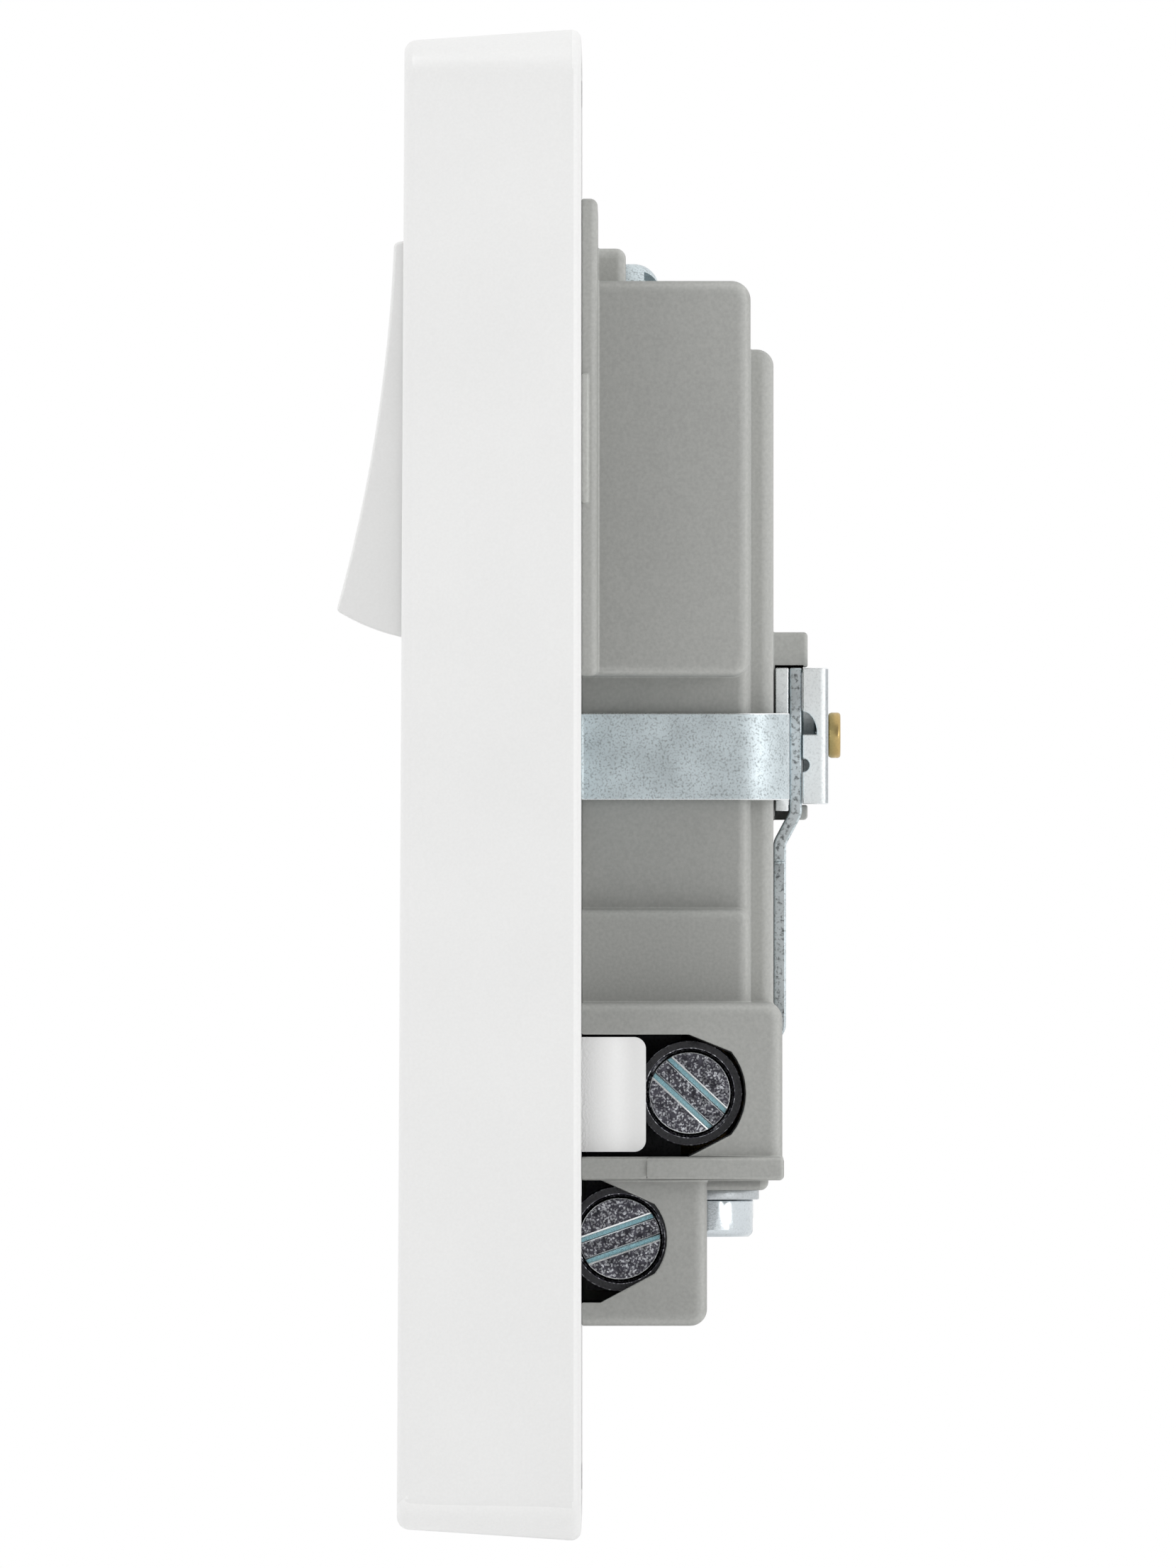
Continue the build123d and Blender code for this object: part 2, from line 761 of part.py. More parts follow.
for pole, level, side, screw_y, screw_z, slot_angle in terminal_places:
    with BuildPart() as terminal:
        with BuildSketch(side_plane(side * terminal_inner_x)):
            with Locations((screw_y, screw_z)):
                Circle(terminal_radius)
        extrude(amount=side * (terminal_outer_x - terminal_inner_x))
        with BuildSketch(side_plane(side * (terminal_inner_x + terminal_end_wall))):
            with Locations((screw_y, screw_z)):
                Circle(terminal_bore)
        extrude(amount=side * terminal_outer_x, mode=Mode.SUBTRACT)
        with BuildSketch(side_plane(side * (terminal_outer_x - relief_depth))):
            with Locations((screw_y, screw_z)):
                Circle(terminal_bore + terminal_relief)
        extrude(amount=side * relief_depth, mode=Mode.SUBTRACT)
        with BuildSketch(depth_plane(screw_y)):
            with Locations((side * wire_x, screw_z)):
                Circle(wire_hole_radius)
        extrude(amount=2 * terminal_radius, both=True, mode=Mode.SUBTRACT)
    finish(terminal, f"{pole}_terminal_{level}")

    with BuildPart() as screw:
        with BuildSketch(side_plane(side * screw_inner_x)):
            with Locations((screw_y, screw_z)):
                Circle(terminal_bore - running_fit)
        extrude(amount=side * screw_length)
        with BuildSketch(side_plane(side * terminal_outer_x)):
            with Locations(Location((screw_y, screw_z), slot_angle)):
                Rectangle(2 * terminal_radius, screw_slot_width)
        extrude(amount=-side * screw_slot_depth, mode=Mode.SUBTRACT)
        straight_edges = screw.edges().filter_by(GeomType.LINE)
        slot_edges = [edge for edge in straight_edges if abs(edge.center().X) > terminal_outer_x - face_gap]
        chamfer(slot_edges, length=screw_slot_chamfer)
    finish(screw, f"{pole}_screw_{level}")

    with BuildPart() as pad:
        with BuildSketch(side_plane(side * (screw_inner_x - face_gap))):
            with Locations((screw_y, screw_z)):
                Circle(terminal_bore - pad_margin)
        extrude(amount=-side * pad_thickness)
    finish(pad, f"{pole}_pad_{level}")

# Earth terminal block with its two screws and washers, which face down
earth_block_front = earth_screw_y - earth_washer_radius
earth_block_rear = upper_floor - part_gap
washer_bottom = ledge_bottom - earth_washer_thickness

with BuildPart() as earth_terminal:
    with BuildSketch(level_plane(earth_block_bottom)):
        span(-earth_block_half_width, earth_block_half_width, earth_block_front, earth_block_rear)
    extrude(amount=earth_block_height)
    chamfer(earth_terminal.edges().filter_by(Axis.Z), length=earth_block_height / 12)
    with BuildSketch(level_plane(earth_block_bottom)):
        with Locations((-earth_screw_x, earth_screw_y), (earth_screw_x, earth_screw_y)):
            Circle(earth_thread_radius + running_fit)
    extrude(amount=earth_block_height, mode=Mode.SUBTRACT)
finish(earth_terminal, "earth_terminal")

for side_name, side in (("right", 1), ("left", -1)):
    earth_place = (side * earth_screw_x, earth_screw_y)
    with BuildPart() as screw:
        with BuildSketch(level_plane(washer_bottom)):
            with Locations(earth_place):
                Circle(earth_head_radius)
        extrude(amount=-earth_head_height)
        fillet(screw.edges().sort_by(Axis.Z)[0], radius=earth_head_height / 5)
        with BuildSketch(level_plane(washer_bottom)):
            with Locations(earth_place):
                Circle(earth_thread_radius)
        extrude(amount=earth_thread_length)
        with BuildSketch(level_plane(washer_bottom - earth_head_height)):
            with Locations(earth_place):
                Rectangle(pan_slot_width, 3 * earth_head_radius)
        extrude(amount=earth_head_height / 2, mode=Mode.SUBTRACT)
    finish(screw, f"earth_screw_{side_name}")

    with BuildPart() as washer:
        with BuildSketch(level_plane(washer_bottom + face_gap)):
            with Locations(earth_place):
                Circle(earth_washer_radius)
                Circle(earth_thread_radius + part_gap, mode=Mode.SUBTRACT)
        extrude(amount=earth_washer_thickness - 2 * face_gap)
    finish(washer, f"earth_washer_{side_name}")

# Earth strap: eyelets at the fixing holes, runs along both notches and across the back, where a
# fork leaves room for the earth pin's tip
strap_mid_rear = strap_rear_y + strap_thickness / 2
strap_mid_side = notch_half_width + part_gap + strap_thickness / 2
strap_mid_front = -strap_thickness / 2
lug_bottom = strap_bottom - lug_drop

with BuildPart() as earth_strap:
    with BuildSketch(level_plane(strap_bottom)):
        with BuildLine():
            FilletPolyline(
                (fixing_x, strap_mid_front),
                (strap_mid_side, strap_mid_front),
                (strap_mid_side, strap_mid_rear),
                (0, strap_mid_rear),
                radius=(strap_front_bend, strap_rear_bend),
            )
        trace(line_width=strap_thickness)
    extrude(amount=strap_width)
    with BuildSketch(Plane.XZ):
        with Locations((fixing_x, 0)):
            Circle(eyelet_radius)
    extrude(amount=strap_thickness)
    mirror(about=Plane.YZ)
    with BuildSketch(depth_plane(strap_rear_y)):
        span(-fork_half_width, fork_half_width, strap_centre_z, bracket_top)
        span(-fork_half_width, -lug_inner_x, lug_bottom, strap_centre_z)
        span(lug_inner_x, fork_half_width, lug_bottom, strap_centre_z)
    extrude(amount=-strap_thickness)
    with BuildSketch(depth_plane(strap_rear_y)):
        span(-fork_inner_x, fork_inner_x, strap_bottom + fork_bridge, bracket_top)
    extrude(amount=-strap_thickness, mode=Mode.SUBTRACT)
    with BuildSketch(Plane.XZ):
        with Locations((-fixing_x, 0), (fixing_x, 0)):
            Circle(fixing_hole_radius)
    extrude(amount=strap_thickness, mode=Mode.SUBTRACT)
finish(earth_strap, "earth_strap")

# Earth bar: plate with a boss for the rivet and a window for the peg, stepped down to a tail
bar_mid = bar_front + bar_thickness / 2
tail_mid = back_depth + face_gap + bar_thickness / 2
bracket_base = bracket_rear - bracket_thickness
peg_top = bracket_bottom - face_gap
peg_room = peg_half_width + part_gap

with BuildPart() as earth_bar:
    with BuildSketch(depth_plane(bar_front)):
        span(-bar_half_width, bar_half_width, bracket_bottom, bracket_top)
    extrude(amount=-bar_thickness)
    with BuildSketch(Plane.YZ):
        with BuildLine():
            FilletPolyline(
                (bar_mid, strap_bottom),
                (bar_mid, tail_joggle_top),
                (tail_mid, tail_joggle_bottom),
                (tail_mid, bar_shoulder),
                radius=bar_thickness,
            )
        trace(line_width=bar_thickness)
    extrude(amount=bar_half_width, both=True)
    with BuildSketch(Plane.YZ):
        with BuildLine():
            FilletPolyline(
                (tail_mid, bar_shoulder),
                (tail_mid, tail_bottom),
                (earth_block_front, tail_bottom),
                radius=bar_thickness,
            )
        trace(line_width=bar_thickness)
    extrude(amount=tail_width / 2, both=True)
    with BuildSketch(depth_plane(bar_back)):
        with Locations((0, rivet_z)):
            Circle(bar_boss_radius)
    extrude(amount=bar_back + face_gap - bracket_base)
    with BuildSketch(depth_plane(bar_front)):
        with Locations((0, rivet_z)):
            Circle(rivet_radius + running_fit)
    extrude(amount=-bracket_rear, mode=Mode.SUBTRACT)
    with BuildSketch(depth_plane(back_depth)):
        span(-peg_room, peg_room, pocket_bottom - part_gap, peg_top + face_gap)
    extrude(amount=-bracket_rear, mode=Mode.SUBTRACT)
finish(earth_bar, "earth_bar")

# Earth bracket: channel that stands on the bar, with its rivet
bracket_inner_x = bracket_half_width - bracket_thickness
bracket_foot = bar_back + face_gap

with BuildPart() as earth_bracket:
    with BuildSketch(depth_plane(bracket_rear)):
        span(-bracket_half_width, bracket_half_width, bracket_bottom, bracket_top)
    extrude(amount=bracket_thickness)
    with BuildSketch(side_plane(bracket_inner_x)):
        span(bracket_foot, bracket_rear, bracket_bottom, bracket_top)
    extrude(amount=bracket_thickness)
    mirror(about=Plane.YZ)
    with BuildSketch(side_plane(bracket_inner_x)):
        with Locations((bracket_foot, bracket_slot_z)):
            Ellipse(bracket_slot_depth, bracket_slot_height)
            Rectangle(
                2 * bracket_slot_depth,
                bracket_slot_height,
                align=(Align.CENTER, Align.MAX),
                mode=Mode.SUBTRACT,
            )
        with Locations((bracket_foot, bracket_nick_z)):
            Circle(bracket_nick_radius)
    extrude(amount=bracket_thickness, mode=Mode.SUBTRACT)
    fillet(earth_bracket.edges().filter_by(Axis.Z).group_by(Axis.Y)[-1], radius=bracket_bend)
    with BuildSketch(depth_plane(bracket_rear)):
        with Locations((0, rivet_z)):
            Circle(rivet_radius + running_fit)
    extrude(amount=bracket_thickness, mode=Mode.SUBTRACT)
finish(earth_bracket, "earth_bracket")

with BuildPart() as earth_rivet:
    with BuildSketch(depth_plane(bracket_rear)):
        with Locations((0, rivet_z)):
            Circle(rivet_head_radius)
    extrude(amount=-rivet_head_height)
    fillet(earth_rivet.edges().sort_by(Axis.Y)[-1], radius=rivet_head_height / 4)
    with BuildSketch(depth_plane(bracket_rear)):
        with Locations((0, rivet_z)):
            Circle(rivet_radius)
    extrude(amount=bracket_rear - bar_front)
finish(earth_rivet, "earth_rivet")

# Rear housing: moulded blocks on the right, mirrored, then hollowed from the front
upper_box = moulded_block(
    box_inner_x, box_half_width, 0, box_depth, box_bottom, box_top, box_corner, housing_edge
)
flange = moulded_block(
    0, flange_half_width, 0, flange_depth, box_bottom, flange_top, flange_round, flange_round
)
flange_clip = moulded_block(
    flange_half_width - clip_height,
    flange_half_width + clip_height,
    0,
    clip_depth,
    rocker_z - clip_length / 2,
    rocker_z + clip_length / 2,
    clip_depth / 4,
    clip_depth / 4,
)
block_root = block_bottom - 2 * housing_corner
centre_body = moulded_block(
    0, notch_half_width, 0, box_depth, block_root, back_top, housing_edge, housing_edge
)
back_layer = moulded_block(
    0, back_half_width, 0, back_depth, block_root, back_top, housing_corner, housing_edge
)
side_block = moulded_block(
    0, block_half_width, 0, box_depth, block_root, block_top, housing_edge, housing_edge
)
top_boss = moulded_block(
    0,
    top_boss_half_width,
    0,
    top_boss_depth,
    back_top - housing_corner,
    top_boss_top,
    top_boss_round,
    top_boss_round,
)
upper_housing = moulded_block(
    0,
    terminal_half_width,
    0,
    upper_housing_depth,
    rib_bottom,
    block_bottom,
    housing_corner,
    housing_edge,
)
ledge_rib = moulded_block(
    0, rib_half_width, 0, rib_depth, rib_bottom, upper_housing_bottom, rib_round, rib_round
)
ledge = moulded_block(
    0, recess_half_width, 0, ledge_depth, ledge_bottom, upper_housing_bottom, ledge_round, ledge_round
)
lower_housing = moulded_block(
    recess_half_width,
    terminal_half_width,
    0,
    lower_housing_depth,
    lower_housing_bottom,
    upper_housing_bottom,
    housing_corner,
    housing_edge,
)
pocket_block = moulded_block(
    0, pocket_half_width, 0, pocket_depth, pocket_bottom, pocket_top, pocket_round, pocket_round
)

terminal_pockets = []
for side in (-1, 1):
    terminal_pockets.append(terminal_pocket(side, upper_screw_y, upper_screw_z, upper_mouth_reach))
    terminal_pockets.append(terminal_pocket(side, lower_screw_y, lower_screw_z, lower_mouth_reach))
tail_gap = tail_width / 2 + part_gap

with BuildPart() as rear_housing:
    add(upper_box)
    add(flange)
    add(flange_clip)
    add(centre_body)
    add(back_layer)
    add(side_block)
    add(upper_housing)
    add(ledge_rib)
    add(ledge)
    add(lower_housing)
    add(pocket_block)
    add(top_boss)
    with BuildSketch(side_plane(rib_half_width)):
        span(0, leg_depth, rib_bottom, upper_housing_bottom)
    extrude(amount=-rib_step, mode=Mode.SUBTRACT)
    mirror(about=Plane.YZ)
    with BuildSketch(Plane.XZ):
        span(-recess_half_width, recess_half_width, lower_housing_bottom, rib_bottom)
    extrude(amount=-recess_floor)
    # Switch box and usb box
    with BuildSketch(Plane.XZ):
        for side in (-1, 1):
            with Locations((side * (box_inner_x + box_half_width) / 2, (box_bottom + box_top) / 2)):
                Rectangle(
                    box_half_width - box_inner_x - 2 * housing_wall,
                    box_top - box_bottom - 2 * housing_wall,
                )
    extrude(amount=-box_floor, mode=Mode.SUBTRACT)
    # Way for the strips from the switch box down to the terminals
    with BuildSketch(Plane.XZ):
        span(
            line_strip_low_x - part_gap,
            inner_notch_x,
            block_bottom,
            box_bottom + 2 * housing_wall,
        )
        span(
            -inner_notch_x,
            inner_notch_x,
            block_bottom - 2 * housing_wall,
            box_bottom - housing_wall,
        )
    extrude(amount=-box_floor, mode=Mode.SUBTRACT)
    # Room for the pin contacts and the terminals
    with BuildSketch(Plane.XZ):
        span(-inner_notch_x, inner_notch_x, upper_housing_bottom, block_bottom - housing_wall)
    extrude(amount=-upper_floor, mode=Mode.SUBTRACT)
    with BuildSketch(Plane.XZ):
        for side in (-1, 1):
            low_x = min(side * inner_notch_x, side * (recess_half_width + housing_wall))
            high_x = max(side * inner_notch_x, side * (recess_half_width + housing_wall))
            span(low_x, high_x, lower_screw_z - window_drop, upper_housing_bottom)
    extrude(amount=-lower_floor, mode=Mode.SUBTRACT)
    for pocket in terminal_pockets:
        add(pocket, mode=Mode.SUBTRACT)
    # Pocket for the earth contact, cut across for the metalwork, with the peg below it
    with BuildSketch(Plane.XZ):
        span(-earth_room, earth_room, earth_z - earth_half_height - part_gap, pocket_top - housing_wall)
    extrude(amount=-strap_rear_y, mode=Mode.SUBTRACT)
    with BuildSketch(depth_plane(strap_rear_y - face_gap)):
        span(-back_half_width, back_half_width, peg_top, bracket_top + face_gap)
        span(-back_half_width, -peg_half_width, pocket_bottom, peg_top)
        span(peg_half_width, back_half_width, pocket_bottom, peg_top)
    extrude(amount=-pocket_depth, mode=Mode.SUBTRACT)
    with BuildSketch(Plane.YZ):
        span(back_depth, pocket_depth, tail_bottom - bar_thickness, block_bottom)
        span(
            earth_block_front,
            pocket_depth,
            tail_bottom - bar_thickness,
            tail_bottom + bar_thickness,
        )
    extrude(amount=tail_gap, both=True, mode=Mode.SUBTRACT)
    # Room and holes for the earth terminal, its screws and its wires
    with BuildSketch(level_plane(earth_block_bottom - part_gap)):
        span(
            -earth_block_half_width - part_gap,
            earth_block_half_width + part_gap,
            earth_block_front - part_gap,
            upper_floor,
        )
    extrude(amount=earth_block_height, mode=Mode.SUBTRACT)
    with BuildSketch(level_plane(ledge_bottom)):
        with Locations((-earth_screw_x, earth_screw_y), (earth_screw_x, earth_screw_y)):
            Circle(earth_thread_radius + part_gap)
    extrude(amount=earth_block_height, mode=Mode.SUBTRACT)
    # Wire entries in the back
    with BuildSketch(depth_plane(lower_floor - part_gap)):
        with Locations((-wire_x, lower_screw_z), (wire_x, lower_screw_z)):
            Circle(wire_entry_radius)
    extrude(amount=-pocket_depth, mode=Mode.SUBTRACT)
    with BuildSketch(depth_plane(upper_screw_y)):
        with Locations((-wire_x, upper_screw_z), (wire_x, upper_screw_z)):
            Circle(wire_entry_radius)
    extrude(amount=-pocket_depth, mode=Mode.SUBTRACT)
    # Holes for the assembly screws and posts that hold the usb board
    with BuildSketch(Plane.XZ):
        with Locations(*assembly_places):
            Circle(assembly_thread_radius + part_gap)
    extrude(amount=-top_boss_depth, mode=Mode.SUBTRACT)
    with BuildSketch(depth_plane(board_rear + face_gap)):
        with Locations(*board_posts):
            Circle(board_post_radius)
    extrude(amount=board_rear + face_gap - box_floor)
finish(rear_housing, "rear_housing")

# Assembly screws, one at the top and two in the lower recess
with BuildPart() as assembly_screws:
    for (place_x, place_z), seat in zip(assembly_places, (top_boss_depth, recess_floor, recess_floor)):
        with BuildSketch(depth_plane(seat)):
            with Locations((place_x, place_z)):
                Circle(pan_radius)
        extrude(amount=-pan_height)
        rear_edges = assembly_screws.edges().filter_by(GeomType.CIRCLE).filter_by_position(
            Axis.Y, seat + pan_height - face_gap, seat + pan_height + face_gap
        )
        fillet(rear_edges.sort_by_distance((place_x, seat + pan_height, place_z))[0], radius=pan_round)
        with BuildSketch(depth_plane(seat)):
            with Locations((place_x, place_z)):
                Circle(assembly_thread_radius)
        extrude(amount=assembly_thread_length)
        with BuildSketch(depth_plane(seat + pan_height)):
            with Locations(Location((place_x, place_z), pan_slot_angle)):
                Rectangle(2 * pan_radius, pan_slot_width)
        extrude(amount=pan_slot_depth, mode=Mode.SUBTRACT)
finish(assembly_screws, "assembly_screws")

# Shutter: band across the line and neutral slots, stem, and the wedge behind the earth slot
wedge_low = earth_z - earth_pin_height / 2
wedge_rear = shutter_front + shutter_travel

with BuildPart() as shutter:
    with BuildSketch(depth_plane(shutter_front)):
        span(-shutter_half_width, shutter_half_width, shutter_low, shutter_high)
        span(-shutter_stem_half_width, shutter_stem_half_width, shutter_low, wedge_low)
    extrude(amount=-shutter_thickness)
    with BuildSketch(Plane.YZ):
        with BuildLine():
            Polyline(
                (shutter_front, wedge_low),
                (wedge_rear, wedge_low + shutter_travel),
                (wedge_rear, wedge_low - shutter_thickness),
                (shutter_rear, wedge_low - shutter_travel),
                (shutter_front, wedge_low - shutter_travel),
                close=True,
            )
        make_face()
    extrude(amount=shutter_wedge_half_width, both=True)
finish(shutter, "shutter")

shutter_middle_y = (shutter_front + shutter_rear) / 2
shutter_spring = coil_spring(
    Plane((0, shutter_middle_y, shutter_spring_floor + face_gap)),
    shutter_thickness / 2 - spring_wire / 2,
    shutter_low - shutter_spring_floor - 2 * face_gap,
    shutter_spring_turns,
)
finish(shutter_spring, "shutter_spring")

# Usb supply: two receptacles on a board behind them, with the parts that feed them
shell_front = front_y + usb_recess
tongue_tip_y = shell_front + tongue_setback
for usb_name, usb_z in zip(("lower", "upper"), usb_heights):
    with BuildPart() as usb_port:
        with BuildSketch(depth_plane(shell_front)):
            with Locations((usb_x, usb_z)):
                Rectangle(usb_width, usb_height)
                Rectangle(
                    usb_width - 2 * usb_shell,
                    usb_height - 2 * usb_shell,
                    mode=Mode.SUBTRACT,
                )
        extrude(amount=-usb_reach)
    finish(usb_port, f"usb_port_{usb_name}")

    with BuildPart() as usb_tongue:
        with BuildSketch(depth_plane(board_front)):
            with Locations((usb_x, usb_z)):
                Rectangle(
                    usb_width - 2 * usb_shell - 2 * face_gap,
                    usb_height - 2 * usb_shell - 2 * face_gap,
                )
        extrude(amount=tongue_base)
        with BuildSketch(depth_plane(board_front)):
            with Locations((usb_x, usb_z + tongue_lift)):
                Rectangle(tongue_width, tongue_thickness)
        extrude(amount=board_front - tongue_tip_y)
    finish(usb_tongue, f"usb_tongue_{usb_name}")

with BuildPart() as usb_contacts:
    with BuildSketch(depth_plane(board_front - tongue_base)):
        for usb_z in usb_heights:
            contact_z = usb_z + tongue_lift - tongue_thickness / 2 - usb_pin_thickness / 2
            with Locations((usb_x, contact_z)):
                with GridLocations(usb_pin_pitch, 1, 4, 1):
                    Rectangle(usb_pin_width, usb_pin_thickness)
    extrude(amount=board_front - tongue_base - tongue_tip_y - usb_pin_width)
finish(usb_contacts, "usb_contacts")

with BuildPart() as usb_board:
    with BuildSketch(depth_plane(board_front)):
        span(board_low_x, board_high_x, board_low_z, board_high_z)
    extrude(amount=-board_thickness)
finish(usb_board, "usb_board")

with BuildPart() as usb_transformer:
    with BuildSketch(depth_plane(board_rear)):
        with Locations((usb_x, rocker_z - part_gap)):
            Rectangle(transformer_width, transformer_height)
    extrude(amount=-transformer_depth)
    with BuildSketch(depth_plane(board_rear + transformer_depth / 4)):
        with Locations((usb_x, rocker_z - part_gap)):
            Rectangle(core_width, transformer_height + 2 * strip_thickness)
    extrude(amount=-transformer_depth / 2)
finish(usb_transformer, "usb_transformer")

with BuildPart() as usb_capacitors:
    capacitor_x = (usb_x + usb_width / 2 + board_high_x) / 2
    with BuildSketch(depth_plane(board_front)):
        with Locations((capacitor_x, (board_low_z + board_high_z) / 2)):
            with GridLocations(1, capacitor_pitch, 1, 3):
                Circle(capacitor_radius)
    extrude(amount=capacitor_length)
finish(usb_capacitors, "usb_capacitors")
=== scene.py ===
import json
import math
from functools import partial

import bmesh
import bpy
from bpy.props import FloatProperty, FloatVectorProperty, PointerProperty
from bpy.types import Operator, Panel, PropertyGroup
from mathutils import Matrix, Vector

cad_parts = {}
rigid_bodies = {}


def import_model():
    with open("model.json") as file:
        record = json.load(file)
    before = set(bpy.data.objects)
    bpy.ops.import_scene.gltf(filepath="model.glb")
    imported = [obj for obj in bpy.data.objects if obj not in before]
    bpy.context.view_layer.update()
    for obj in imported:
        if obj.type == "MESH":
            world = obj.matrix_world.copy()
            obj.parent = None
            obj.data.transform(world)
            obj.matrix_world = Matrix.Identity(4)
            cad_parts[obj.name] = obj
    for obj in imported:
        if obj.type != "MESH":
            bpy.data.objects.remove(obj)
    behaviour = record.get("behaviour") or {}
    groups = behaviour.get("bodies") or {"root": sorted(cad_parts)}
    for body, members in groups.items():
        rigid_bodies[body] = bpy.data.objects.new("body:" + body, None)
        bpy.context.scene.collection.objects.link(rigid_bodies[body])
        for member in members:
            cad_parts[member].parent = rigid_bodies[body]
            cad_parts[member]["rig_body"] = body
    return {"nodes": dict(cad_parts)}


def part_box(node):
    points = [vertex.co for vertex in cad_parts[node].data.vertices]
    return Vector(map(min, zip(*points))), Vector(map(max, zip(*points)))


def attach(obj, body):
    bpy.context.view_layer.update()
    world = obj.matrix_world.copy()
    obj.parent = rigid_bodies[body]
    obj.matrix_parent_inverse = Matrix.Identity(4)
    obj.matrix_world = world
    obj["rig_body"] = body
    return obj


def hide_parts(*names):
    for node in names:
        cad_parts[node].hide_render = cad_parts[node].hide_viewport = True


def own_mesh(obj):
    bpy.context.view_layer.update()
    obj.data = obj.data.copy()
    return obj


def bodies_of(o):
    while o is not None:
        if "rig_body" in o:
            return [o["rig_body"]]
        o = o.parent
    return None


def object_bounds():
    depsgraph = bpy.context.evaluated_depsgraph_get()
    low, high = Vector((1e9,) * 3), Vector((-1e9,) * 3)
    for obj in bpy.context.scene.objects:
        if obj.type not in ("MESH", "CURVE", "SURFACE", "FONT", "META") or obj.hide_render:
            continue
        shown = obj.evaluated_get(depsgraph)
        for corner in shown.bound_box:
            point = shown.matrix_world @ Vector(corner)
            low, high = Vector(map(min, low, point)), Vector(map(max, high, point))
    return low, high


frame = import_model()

bl_info = {
    "name": "Switched wall socket",
    "version": (1, 0, 0),
    "blender": (4, 5, 0),
    "location": "3D View > Sidebar > Socket",
    "description": "Dresses the packed wall socket with its finishes and sets up its stage",
    "category": "Object",
}

CAD_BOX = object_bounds()
MM = 0.001
MERGE_DISTANCE = 0.001 * MM
FLAT_ANGLE = math.radians(0.2)
SHARP_ANGLE = math.radians(34)

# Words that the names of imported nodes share
POLES = ("line", "neutral")
LEVELS = ("upper", "lower")
SIDES = ("right", "left")

# Attribute for how far a surface leans from the main axes, and the lean that counts as full; the lean
# sets the painted highlight on rounded grey edges
LEAN = "lean"
FULL_LEAN = 1 - math.cos(math.radians(45))

# How much of a face's normal goes along an axis
ALONG_AXIS = 0.97
NEARLY_ALONG = 0.9
BENT_TOWARD = 0.6
HALF_ALONG = 0.5
TURNED_TO = 0.3
JUST_TURNED = 0.1

# Broad patterns, measured in grains
PLASTIC_DRIFT = 60
METAL_DRIFT = 16
CRYSTAL_PATCH = 4

# Depths of bump, measured in grains
PLASTIC_BUMP = 0.08
METAL_BUMP = 0.06
CRYSTAL_BUMP = 0.25

# How much rougher or smoother a patch is
ROUGHNESS_DRIFT = 0.05
FLECK_ROUGHNESS = 0.1

# Borders, measured in edge roundings
FACE_DEPTH = 5
RIM_WIDTH = 3

# Clip distances, measured in camera distances
CLIP_NEAR = 0.1
CLIP_FAR = 4


def colour(name, description, default):
    """A colour that a user can change."""
    return FloatVectorProperty(
        name=name, description=description, default=default, subtype="COLOR", min=0, max=1
    )


def length(name, description, default):
    """A length in metres that a user can change."""
    return FloatProperty(
        name=name, description=description, default=default, unit="LENGTH", precision=6
    )


def plain_number(name, description, default):
    """A plain number that a user can change."""
    return FloatProperty(name=name, description=description, default=default)


def power(name, description, default):
    """A light's power in watts that a user can change."""
    return FloatProperty(name=name, description=description, default=default, unit="POWER")


def spot(name, description, default):
    """A place in metres that a user can change."""
    return FloatVectorProperty(
        name=name, description=description, default=default, subtype="TRANSLATION", unit="LENGTH"
    )


